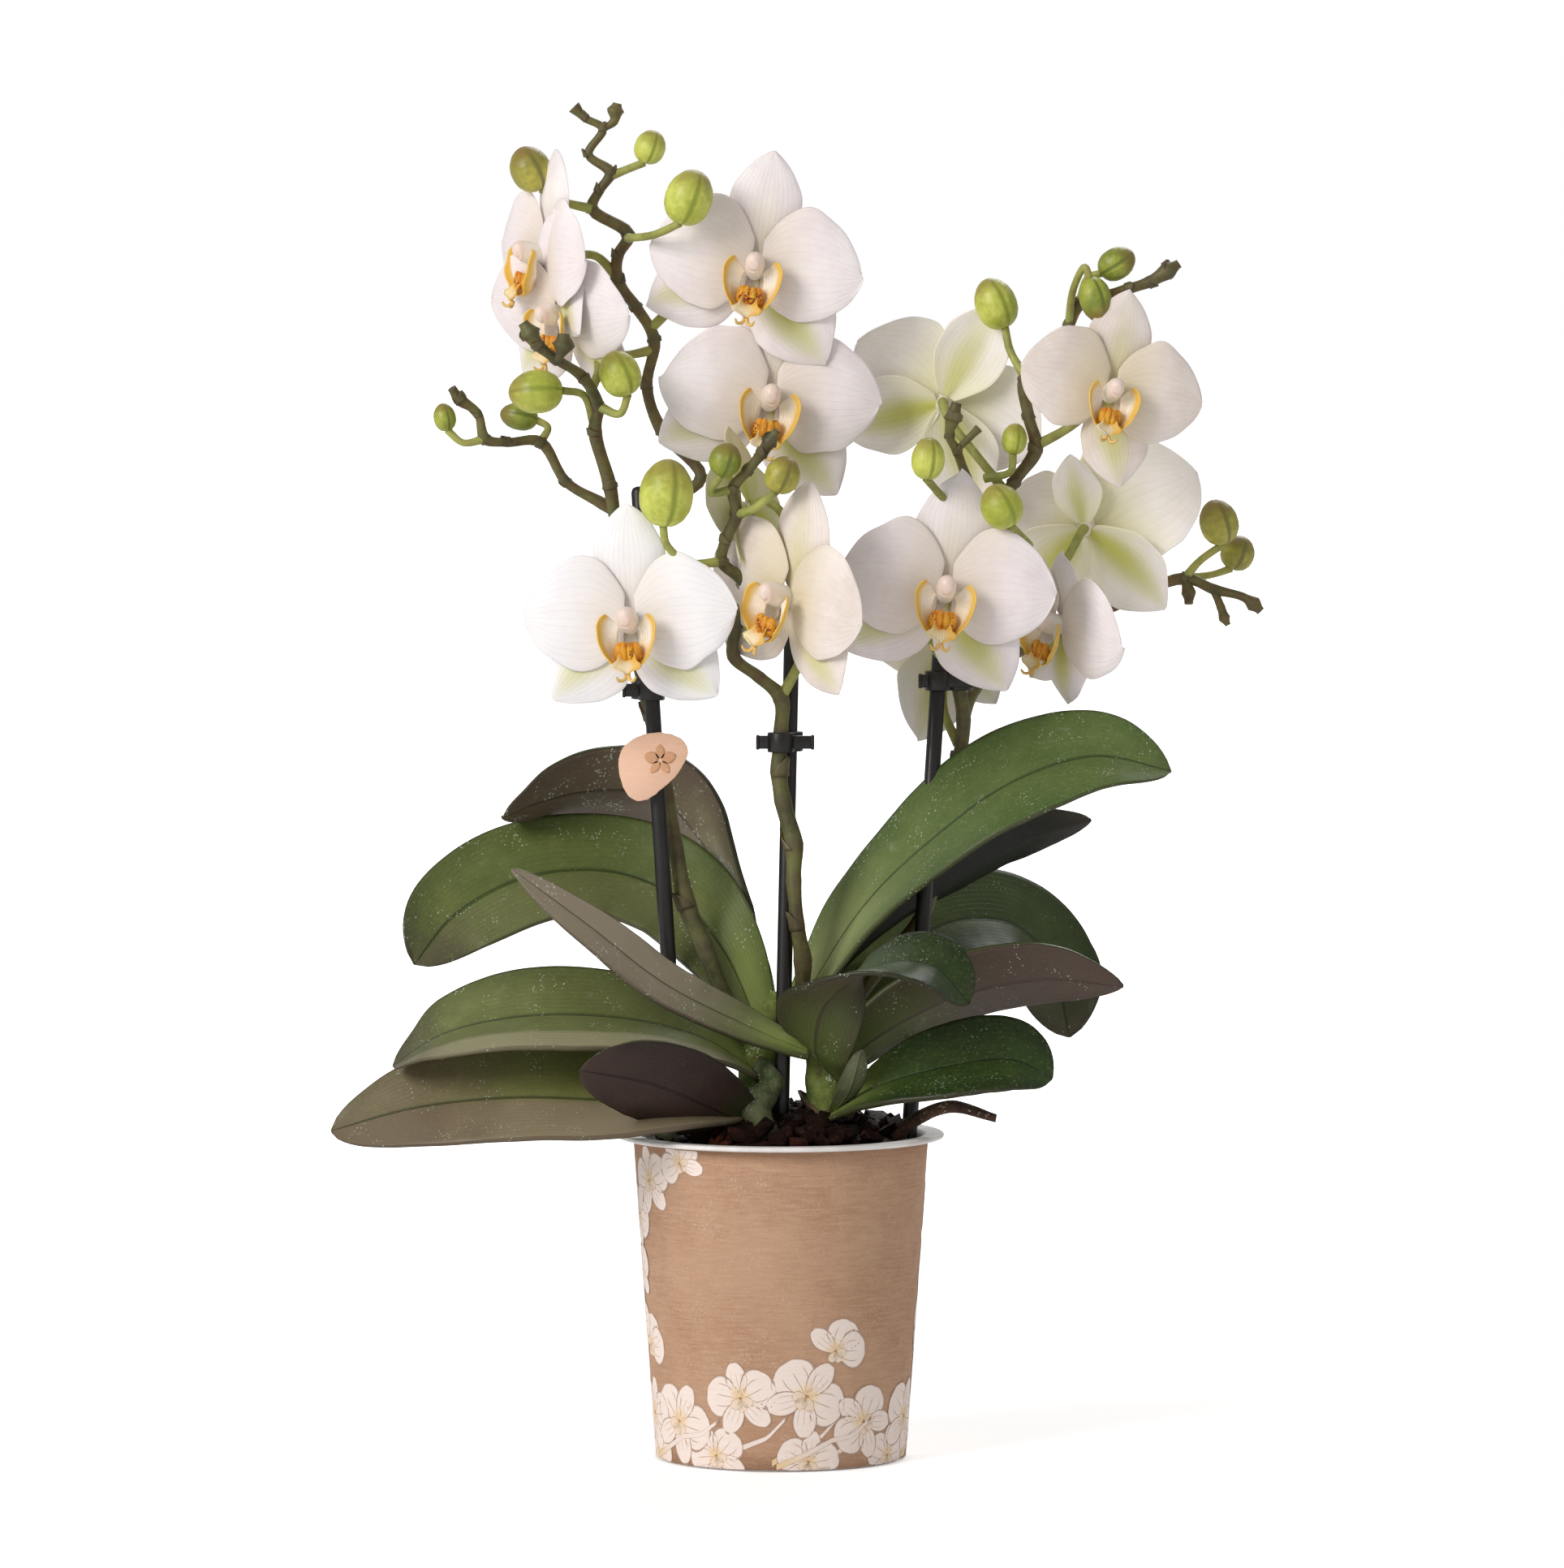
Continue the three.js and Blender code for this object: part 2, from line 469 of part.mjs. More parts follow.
// ---------------------------------------------------------------- buds
// centre, the way the tip points, length and width; stalk as for the blooms.
const BUDS = {
  bud_left_a: { centre: [-36, 12, 361], tip: [0.35, 0, 1], length: 9.6, width: 8.6, spike: 'left',
    stalk: [[-47, 12, 353, 1.3], [-42, 12, 355, 1.1]] },
  bud_left_b: { centre: [-69, 12, 355], tip: [-0.5, 0, 1], length: 13, width: 11.4, spike: 'left',
    stalk: [[-52, 12, 344, 1.4], [-60, 12, 346, 1.1]] },
  bud_left_c: { centre: [-25, -16, 347], tip: [0.35, 0, 1], length: 15.6, width: 13, spike: 'left',
    stalk: [[-42, 13, 336, 1.4], [-41, 1, 336, 1.1], [-34, -12, 337, 1.1]] },
  bud_left_d: { centre: [-52, 8, 313], tip: [0.2, 0, 1], length: 8, width: 7, joined: true, spike: 'left',
    stalk: [[-35.5, 16, 305, 1.4], [-44, 12, 304, 1.1]] },
  bud_left_e: { centre: [-44, -14, 299], tip: [-0.4, 0, 1], length: 13, width: 11.4, spike: 'left',
    stalk: [[-50, -7, 290, 1.4], [-44, -11, 288, 1.1]] },
  bud_left_f: { centre: [-67, -12, 294], tip: [-1, 0, -0.05], length: 15, width: 12, spike: 'left',
    stalk: [[-51, -2, 284, 1.3], [-54, -8, 293, 1.1]] },
  bud_left_g: { centre: [-72, 3, 287], tip: [-1, 0, 0.2], length: 10.6, width: 7.6, spike: 'left',
    stalk: [[-66, 1, 280, 1.2], [-64, 2, 284, 1]] },
  bud_left_h: { centre: [-92, -8, 287], tip: [-0.2, 0, 1], length: 7.8, width: 6.2, joined: true, spike: 'left',
    stalk: [[-81, -5, 281, 1.2], [-87, -7, 280, 1]] },
  bud_centre_a: { centre: [-31, -36, 267], tip: [0.1, 0, 1], length: 18.6, width: 14.8, spike: 'centre',
    stalk: [[-16, -26, 248, 1.4], [-25, -31, 248, 1.1], [-31, -35, 253, 1.1]] },
  bud_centre_b: { centre: [-15, -38, 276], tip: [0.3, 0, 1], length: 9.4, width: 8.8, spike: 'centre',
    stalk: [[-13, -33, 268, 1.3], [-19, -36, 267, 1]] },
  bud_centre_c: { centre: [0.5, -42, 272], tip: [0.4, 0, 1], length: 10.4, width: 9.6, spike: 'centre',
    stalk: [[-12, -30, 261, 1.3], [-7, -36, 263, 1.1]] },
  bud_right_a: { centre: [59, 6, 318], tip: [-0.4, 0, 1], length: 14.6, width: 11.6, spike: 'right',
    stalk: [[67, 0, 298, 1.4], [63, 3, 305, 1.1]] },
  bud_right_b: { centre: [92, -4, 329], tip: [0.8, 0, 0.5], length: 10.8, width: 8.8, spike: 'right',
    stalk: [[82, -2, 318, 1.3], [84, -3, 325, 1]] },
  bud_right_c: { centre: [86, -11, 319], tip: [0.3, 0, -1], length: 12.8, width: 9, spike: 'right',
    stalk: [[79, 0, 312, 1.2], [80, -7, 322, 1], [83, -11, 328, 1]] },
  bud_right_d: { centre: [64, -4, 281], tip: [0.1, 0, 1], length: 8.6, width: 7, joined: true, spike: 'right',
    stalk: [[56, 1, 270, 1.3], [63, -2, 272, 1]] },
  bud_right_e: { centre: [40, -24, 276], tip: [0.1, 0, 1], length: 11.6, width: 9.2, spike: 'right',
    stalk: [[54, 0, 264, 1.3], [46, -14, 264, 1.1]] },
  bud_right_f: { centre: [60, -20, 263], tip: [-0.5, 0, 1], length: 12.6, width: 11.6, spike: 'right',
    stalk: [[60, 5, 258, 1.2], [68, -10, 252, 1.1]] },
  bud_far_right_a: { centre: [122, 38, 257], tip: [-0.3, 0, 1], length: 13, width: 11, spike: 'right',
    stalk: [[113, 46, 241, 1.3], [117, 42, 246, 1.1]] },
  bud_far_right_b: { centre: [128, 50, 248], tip: [0.4, 0, 1], length: 10, width: 9.6, joined: true, spike: 'right',
    stalk: [[113, 46, 241, 1.3], [121, 49, 242, 1]] },
};
const BUD_OUTLINE = [[0.02, 0.3], [0.16, 0.74], [0.4, 1], [0.68, 0.86], [0.88, 0.5], [1, 0.16]];
const BUD_SIDES = 7;

function bud({ centre, tip, length, width }, grow = 0) {
  const axis = vector(tip).normalize();
  const reach = length * BUD_SCALE;
  return stem(BUD_OUTLINE.map(([share, round]) => {
    const point = vector(centre).addScaledVector(axis, (share - 0.5) * reach);
    return [...point.toArray(), (round * width * BUD_SCALE) / 2 / STEM_SCALE];
  }), grow, 1, BUD_SIDES);
}

// ---------------------------------------------------------------- flower spikes
const SPIKES = {
  left: [
    [[-8, 1, 110, 1.8], [-14, -1, 124, 2.1], [-21, -1, 141, 2.4], [-26, 0, 153, 2.6], [-29, 1, 169, 2],
      [-32, 3, 187, 1.9], [-36, 3, 205, 1.9], [-40, 2, 223, 1.8], [-43, 2, 241, 1.8], [-45, 2, 254, 1.8],
      [-47, 1, 268, 1.9], [-51, -3, 283, 1.9], [-50, -7, 290, 1.7], [-54, -15, 298, 1.6], [-61, -24, 303, 1.4],
      [-66, -27, 307, 1.7], [-68, -28, 310, 2.6], [-70, -28, 313, 1.4]],
    [[-61, -24, 303, 1.3], [-60, -27, 304, 1.2], [-59, -28, 307, 3], [-59, -28, 310, 1.6]],
    [[-40, 3, 257, 1.6], [-49, 4, 263, 1.7], [-59, 3, 269, 1.4], [-66, 1, 280, 1.6], [-75, -3, 280, 1.3],
      [-81, -5, 281, 1.6], [-83, -6, 288, 1.2], [-88, -8, 292, 1.8], [-90, -9, 295, 1.2]],
    [[-45, 2, 252, 1.6], [-34, 10, 262, 1.6], [-22, 14, 270, 1.7], [-33, 16, 283, 1.8], [-37, 16, 295, 1.6],
      [-35, 16, 308, 1.7], [-40, 16, 317, 1.6], [-45, 14, 324, 1.9], [-45, 14, 331, 1.6], [-42, 14, 337, 1.8],
      [-52, 13, 344, 1.7], [-50, 12, 349, 1.3], [-47, 12, 354, 1.6], [-53, 12, 359, 1.2], [-49, 12, 366, 1.2],
      [-54, 12, 369, 1.1], [-57, 12, 372, 1.8]],
    [[-49, 12, 366, 1], [-46, 12, 368, 1.2], [-45.5, 12, 371, 2.3], [-45, 12, 373, 1.2]],
  ],
  centre: [
    [[9, -2, 113, 1.8], [6, -5, 125, 2], [6, -9, 138, 2.5], [4.5, -11, 148, 2], [3.5, -10.5, 160, 2.1],
      [3.5, -10, 170, 2.6], [0.5, -9.5, 182, 2.3], [-0.5, -9.5, 190, 2.4], [0, -9.5, 201, 2], [0, -9, 210, 2.2],
      [-6, -12, 216, 1.7], [-13, -16, 222, 1.8], [-12, -19, 231, 1.6], [-10, -22, 242, 1.9],
      [-16, -26, 248, 1.6], [-15, -28, 254, 1.6], [-12, -30, 261, 1.7], [-13, -33, 268, 1.6],
      [-9, -36, 273, 1.4], [-5, -39, 278, 1.6], [-3, -40, 281, 2], [-1, -41, 284, 1]],
  ],
  right: [
    [[14, 3, 112, 1.8], [20, 9, 124, 2], [31, 15, 138, 2], [40, 17, 150, 2.1], [44, 16, 168, 2],
      [49, 14, 190, 2.1], [50.5, 13, 203, 2], [49, 12, 216, 2.2], [53, 12, 232, 1.8], [58, 8, 250, 1.8],
      [60, 4, 261, 1.9], [64, 2, 269, 1.7], [70, 0, 278, 2], [68, 0, 287, 1.6], [67, 0, 297, 1.9],
      [75, 0, 305, 1.4], [79, 0, 312, 1.5], [82, -2, 318, 1.8], [88, -3, 320, 1.4], [95, -4, 322, 1.5],
      [101, -4, 324, 1.6], [106, -4, 327, 2.4], [109, -4, 329, 1.2]],
    [[60, 4, 261, 1.6], [54, 0, 264, 1.4], [51, -6, 270, 1.4], [48, -11, 278, 1.3], [46, -13, 282, 1.2],
      [47, -14, 287, 2.2], [48, -14, 291, 1.4]],
    [[48, -11, 278, 1], [51, -12, 281, 1], [54, -13, 284, 1.2]],
    [[50.5, 13, 203, 1.6], [54, 24, 211, 1.6], [61, 34, 218, 1.7], [77, 44, 225, 1.6], [95, 48, 234, 1.6],
      [113, 46, 241, 1.7], [121, 44, 238, 1.5], [129, 41, 236, 1.2], [132, 40, 234, 2.2], [134, 40, 232, 1.2]],
    [[121, 44, 238, 1.2], [123, 43, 233, 1.2], [124, 43, 230, 1.6], [125, 43, 228, 0.8]],
    [[113, 46, 241, 1.2], [114, 44, 237, 2], [114, 43, 234, 1.2]],
  ],
};

// The last stretch of a stalk runs straight into the back of its bloom.
function bloomStalk(place) {
  const unit = (BLOOM_SPAN / 57) * place.size;
  const end = new THREE.Vector3(0, 0, -HUB * unit - CLEARANCE).applyMatrix4(bloomFrame(place));
  const before = new THREE.Vector3(0, 0, -HUB * unit - 4).applyMatrix4(bloomFrame(place));
  return [...place.stalk, [...before.toArray(), 1.2], [...end.toArray(), 1.4]];
}

// The last stretch of a stalk runs straight into the foot of its bud.
function budStalk({ centre, tip, length, stalk, joined }) {
  const axis = vector(tip).normalize();
  const foot = (length * BUD_SCALE) / 2;
  const end = vector(centre).addScaledVector(axis, -foot - (joined ? -1 : CLEARANCE));
  return [...stalk, [...end.toArray(), 1]];
}

function spike(name, grow = 0) {
  const blooms = Object.values(BLOOMS).filter((place) => place.spike === name);
  const buds = Object.values(BUDS).filter((place) => place.spike === name);
  return unite([
    ...SPIKES[name].map((route) => stem(route, grow, 1)),
    ...blooms.map((place) => stem(bloomStalk(place), grow, 1)),
    ...buds.map((place) => stem(budStalk(place), grow, 1, 4)),
    ...buds.filter((place) => place.joined).map((place) => bud(place, grow)),
  ]);
}

// ---------------------------------------------------------------- materials
const MATERIALS = {
  white_plastic: { color: 0xf4f3f1, roughness: 0.45 },
  sleeve_paper: { color: 0xc89b78, roughness: 0.85 },
  bark_mix: { color: 0x3a211b, roughness: 1 },
  black_plastic: { color: 0x191716, roughness: 0.4 },
  tag_card: { color: 0xe6b795, roughness: 0.85 },
  root: { color: 0x7c8462, roughness: 0.8 },
  stem_green: { color: 0x6b7148, roughness: 0.55 },
  leaf_green: { color: 0x44602f, roughness: 0.4 },
  petal_white: { color: 0xf6eeeb, roughness: 0.6 },
  bud_green: { color: 0xa9bc4e, roughness: 0.45 },
};
const finishes = Object.fromEntries(Object.entries(MATERIALS).map(([name, look]) => [
  name, new THREE.MeshStandardMaterial({ name, metalness: 0, ...look }),
]));

// ---------------------------------------------------------------- assembly
// Each piece is made twice: as it is, and grown by the clearance to cut room for it in later pieces.
const pieces = [];

function clear(solid, name) {
  const box = solid.boundingBox();
  const meets = (other) => [0, 1, 2].every((k) => box.min[k] < other.max[k] && other.min[k] < box.max[k]);
  return pieces
    .filter((piece) => piece.name !== name && meets(piece.box))
    .reduce((left, piece) => left.subtract(piece.room), solid);
}

function add(name, finish, make, fits = true, rise = LIFT) {
  const room = make(CLEARANCE).translate([0, 0, rise]);
  const whole = make(0).translate([0, 0, rise]);
  const solid = fits ? clear(whole, name) : whole;
  pieces.push({ name, finish, solid, room, box: room.boundingBox() });
}

for (const [name, place] of Object.entries(STAKES)) {
  add(name, 'black_plastic', (grow) => stake(place, grow));
}
for (const name of Object.keys(SPIKES)) {
  add(`spike_${name}`, 'stem_green', (grow) => spike(name, grow));
}
add('clip_left', 'black_plastic', () => clip(STAKES.stake_left, 212, [-37.5, 2.6], 14));
add('clip_centre', 'black_plastic', () => clip(STAKES.stake_centre, 198, [0, -9.4], 16));
add('clip_right', 'black_plastic', () => clip(STAKES.stake_right, 214, [49.4, 12], 17));
add('plant_tag', 'tag_card', () => plantTag(192));
for (const [name, route] of Object.entries({ ...CROWNS, ...ROOTS })) {
  add(name, 'root', (grow) => stem(route, grow));
}
for (const [name, place] of Object.entries(LEAVES)) {
  add(name, 'leaf_green', (grow) => leaf(place, grow));
}
for (const [name, place] of Object.entries(BUDS)) {
  if (!place.joined) {
    add(name, 'bud_green', (grow) => bud(place, grow));
  }
}
for (const [name, place] of Object.entries(BLOOMS)) {
  add(name, 'petal_white', (grow) => bloom(place, grow));
}
add('potting_mix', 'bark_mix', pottingMix, true, 0);
add('pot_cup', 'white_plastic', potCup, false, 0);
add('paper_sleeve', 'sleeve_paper', paperSleeve, false, 0);

const orchid = new THREE.Group();
orchid.name = 'potted_orchid';
for (const { name, finish, solid } of pieces) {
  const mesh = new THREE.Mesh(toGeometry(solid), finishes[finish]);
  mesh.name = name;
  orchid.add(mesh);
}

export default orchid;
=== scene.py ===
"""A potted moth orchid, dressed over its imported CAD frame: pot, sleeve, bark, leaves, spikes and blooms."""

from __future__ import annotations

import logging
import math
import random
from dataclasses import dataclass, field
from enum import Enum
from typing import Callable, Sequence

import bmesh
import bpy
from mathutils import Matrix, Vector, noise


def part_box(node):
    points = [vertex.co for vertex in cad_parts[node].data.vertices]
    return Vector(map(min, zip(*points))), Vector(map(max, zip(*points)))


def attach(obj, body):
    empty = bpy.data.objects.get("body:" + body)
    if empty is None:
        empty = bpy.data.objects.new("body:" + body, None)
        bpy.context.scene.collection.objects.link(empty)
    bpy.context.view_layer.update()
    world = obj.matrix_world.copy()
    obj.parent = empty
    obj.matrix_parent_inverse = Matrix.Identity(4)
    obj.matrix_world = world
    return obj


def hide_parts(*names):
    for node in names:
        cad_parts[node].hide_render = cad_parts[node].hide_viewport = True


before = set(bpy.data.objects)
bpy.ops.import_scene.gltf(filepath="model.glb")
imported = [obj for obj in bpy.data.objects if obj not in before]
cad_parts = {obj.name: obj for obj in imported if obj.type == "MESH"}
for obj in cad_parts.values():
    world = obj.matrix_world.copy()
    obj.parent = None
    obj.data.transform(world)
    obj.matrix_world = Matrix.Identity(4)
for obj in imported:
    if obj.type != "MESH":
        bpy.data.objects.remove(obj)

LOG = logging.getLogger("orchid")
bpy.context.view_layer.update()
MM = 0.001
SEAMS = 3
SEAM_SHARPNESS = 24
SEAM_DEPTH = 0.06
BUD_SIDES = 36
LEAF_STEPS = 10
WELD_GAP = 1e-6

Stop = tuple[float, float, float, float]
Point = tuple[float, float, float]
Tone = tuple[float, float, float, float]
Socket = bpy.types.NodeSocket


def tone(code: str) -> Tone:
    """Turns a hex colour into the linear one that shaders use.

    Args:
        code: Six hex digits, such as "c69a78".

    Returns:
        Red, green, blue and an alpha of one.
    """
    parts = [int(code[i : i + 2], 16) / 255 for i in (0, 2, 4)]
    linear = [c / 12.92 if c <= 0.04045 else ((c + 0.055) / 1.055) ** 2.4 for c in parts]
    return (linear[0], linear[1], linear[2], 1.0)


def lerp(low: float, high: float, share: float) -> float:
    """Returns the value a share of the way from low to high."""
    return low + (high - low) * share


def ease(share: float) -> float:
    """Returns a share from 0 to 1 with soft ends."""
    held = min(1.0, max(0.0, share))
    return held * held * (3 - 2 * held)


def table(rows: Sequence[tuple[float, float]], share: float) -> float:
    """Reads a smooth value from a short table.

    Args:
        rows: Pairs of place and value, in order of place.
        share: Where to read.

    Returns:
        The value, eased between its two rows.
    """
    for (a, low), (b, high) in zip(rows, rows[1:]):
        if share <= b:
            return lerp(low, high, ease((share - a) / (b - a)))
    return rows[-1][1]


# ---------------------------------------------------------------- paths


@dataclass(frozen=True)
class Station:
    """A place on a path: its point, the way it runs, its radius and its share of the length."""

    point: Vector
    tangent: Vector
    radius: float
    share: float

    def frame(self, across: Vector) -> Matrix:
        """Gives the path's own axes here.

        Args:
            across: The sideways direction carried from the station before.

        Returns:
            A matrix whose x is across, whose z runs along the path, and whose place is the point.
        """
        side = across - self.tangent * across.dot(self.tangent)
        if side.length < 0.1:
            side = Vector((1, 0, 0)) - self.tangent * self.tangent.x
        side.normalize()
        other = self.tangent.cross(side)
        turn = Matrix((side, other, self.tangent)).transposed().to_4x4()
        return Matrix.Translation(self.point) @ turn


def spline_value(values: Sequence[float], spans: Sequence[float], share: float) -> tuple[float, float]:
    """Runs a cubic through the middle two of four values.

    Args:
        values: Four values in a row.
        spans: The spacing between each value and the next.
        share: How far between the middle two.

    Returns:
        The value and its slope.
    """
    x0, x1, x2, x3 = values
    d0, d1, d2 = spans
    t1 = ((x1 - x0) / d0 - (x2 - x0) / (d0 + d1) + (x2 - x1) / d1) * d1
    t2 = ((x2 - x1) / d1 - (x3 - x1) / (d1 + d2) + (x3 - x2) / d2) * d1
    c2 = -3 * x1 + 3 * x2 - 2 * t1 - t2
    c3 = 2 * x1 - 2 * x2 + t1 + t2
    value = x1 + t1 * share + c2 * share**2 + c3 * share**3
    return value, t1 + 2 * c2 * share + 3 * c3 * share**2


def walk(route: Sequence[Stop], per_span: int) -> list[Station]:
    """Spaces stations along a smooth curve through a route.

    Args:
        route: Stops of x, y, z and radius, in millimetres.
        per_span: Stations for each stretch between two stops.

    Returns:
        The stations, in metres.
    """
    points = [Vector(stop[:3]) * MM for stop in route]
    padded = [points[0] * 2 - points[1], *points, points[-1] * 2 - points[-2]]
    found: list[Station] = []
    total = (len(route) - 1) * per_span
    for i in range(total + 1):
        low = min(i // per_span, len(route) - 2)
        part = i / per_span - low
        four = padded[low : low + 4]
        spans = [math.sqrt((b - a).length) for a, b in zip(four, four[1:])]
        pairs = [spline_value([p[k] for p in four], spans, part) for k in range(3)]
        radius = lerp(route[low][3], route[low + 1][3], ease(part)) * MM
        point = Vector([p[0] for p in pairs])
        tangent = Vector([p[1] for p in pairs]).normalized()
        found.append(Station(point, tangent, radius, i / total))
    return found


# ---------------------------------------------------------------- mesh making


def sweep(
    bm: bmesh.types.BMesh,
    stations: Sequence[Station],
    sides: int,
    outline: Callable[[float], float] | None = None,
    start_across: Vector | None = None,
) -> None:
    """Extrudes a ring along a path and closes both ends.

    Args:
        bm: The mesh to add to. It has the layers along and across.
        stations: The places of the rings.
        sides: Points in each ring.
        outline: The ring's radius as a share, for a turn from 0 to 1.
        start_across: The first ring's sideways direction.
    """
    along = bm.verts.layers.float["along"]
    across_layer = bm.verts.layers.float["across"]
    across = (start_across or Vector((0, 1, 0))).copy()
    ring = bmesh.ops.create_circle(bm, cap_ends=True, segments=sides, radius=1.0)["verts"]
    for vert in ring:
        turn = (math.atan2(vert.co.y, vert.co.x) / math.tau) % 1.0
        vert[across_layer] = abs(((turn * SEAMS + 0.5) % 1.0) - 0.5) * 2
        if outline is not None:
            vert.co *= outline(turn)
    place = Matrix.Identity(4)
    edges = list({edge for vert in ring for edge in vert.link_edges})
    verts = list(ring)
    for i, station in enumerate(stations):
        if i > 0:
            made = bmesh.ops.extrude_edge_only(bm, edges=edges)["geom"]
            verts = [item for item in made if isinstance(item, bmesh.types.BMVert)]
            edges = [item for item in made if isinstance(item, bmesh.types.BMEdge)]
        axes = station.frame(across)
        across = axes.col[0].to_3d()
        target = axes @ Matrix.Diagonal((station.radius, station.radius, 1.0, 1.0))
        bmesh.ops.transform(bm, matrix=target @ place.inverted(), verts=verts)
        for vert in verts:
            vert[along] = station.share
        place = target
    bmesh.ops.contextual_create(bm, geom=edges)


def blade(
    bm: bmesh.types.BMesh,
    columns: int,
    rows: int,
    surface: Callable[[float, float], Vector],
) -> None:
    """Makes a sheet from a grid that is laid on a surface.

    Args:
        bm: The mesh to add to. It has the layers along and across.
        columns: Faces across.
        rows: Faces along.
        surface: Gives the place for across from -1 to 1 and along from 0 to 1.
    """
    along = bm.verts.layers.float["along"]
    across = bm.verts.layers.float["across"]
    grid = bmesh.ops.create_grid(bm, x_segments=columns, y_segments=rows, size=1.0)["verts"]
    for vert in grid:
        side = vert.co.x
        share = (vert.co.y + 1) / 2
        vert[along] = share
        vert[across] = side
        vert.co = surface(side, share)


def seam_groove(turn: float) -> float:
    """Returns a bud's radius as a share of its full one, pinched in at each seam."""
    return 1.0 - SEAM_DEPTH * max(0.0, math.cos(turn * math.tau * SEAMS)) ** SEAM_SHARPNESS


def new_mesh() -> bmesh.types.BMesh:
    """Starts a mesh that has the two vertex layers that patterns follow: along the piece and across it.

    Returns:
        The empty mesh.
    """
    bm = bmesh.new()
    for name in ("along", "across"):
        bm.verts.layers.float.new(name)
    return bm


@dataclass
class Piece:
    """What a finished piece is called, what it stands for and what it is finished with."""

    name: str
    nodes: tuple[str, ...]
    slot: str
    materials: tuple[bpy.types.Material, ...]
    thickness: float = 0.0
    rim_material: int = 0
    smooth_levels: int = 0
    outward: bool = True
    bevel: float = 0.0

    def make(self, bm: bmesh.types.BMesh) -> bpy.types.Object:
        """Turns a mesh into a piece that rides on the plant.

        Args:
            bm: The piece's mesh, in place. It is freed.

        Returns:
            The new object.
        """
        bmesh.ops.remove_doubles(bm, verts=bm.verts, dist=WELD_GAP)
        if self.outward:
            bmesh.ops.recalc_face_normals(bm, faces=bm.faces)
        mesh = bpy.data.meshes.new(self.name)
        bm.to_mesh(mesh)
        bm.free()
        mesh.shade_smooth()
        for material in self.materials:
            mesh.materials.append(material)
        piece = bpy.data.objects.new(self.name, mesh)
        bpy.context.scene.collection.objects.link(piece)
        self.add_modifiers(piece)
        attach(piece, "root")
        if self.nodes:
            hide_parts(*self.nodes)
        LOG.info("%s: %d faces, %s", self.name, len(mesh.polygons), self.slot)
        return piece

    def add_modifiers(self, piece: bpy.types.Object) -> None:
        """Gives a sheet its thickness, rounds edges and smooths the piece.

        Args:
            piece: The object to add modifiers to.
        """
        if self.thickness:
            wall = piece.modifiers.new("thickness", "SOLIDIFY")
            wall.thickness = self.thickness
            wall.offset = 0.0
            wall.use_even_offset = False
            wall.material_offset = len(self.materials) - 1
            wall.material_offset_rim = self.rim_material
        if self.bevel:
            edge = piece.modifiers.new("edges", "BEVEL")
            edge.width = self.bevel
            edge.segments = 2
            edge.limit_method = "ANGLE"
        if self.smooth_levels:
            round_off = piece.modifiers.new("smooth", "SUBSURF")
            round_off.levels = self.smooth_levels
            round_off.render_levels = self.smooth_levels


# ---------------------------------------------------------------- shader building


class Op(Enum):
    """What a math node does."""

    ABSOLUTE = "ABSOLUTE"
    ADD = "ADD"
    MAXIMUM = "MAXIMUM"
    MULTIPLY = "MULTIPLY"
    SINE = "SINE"
    SUBTRACT = "SUBTRACT"


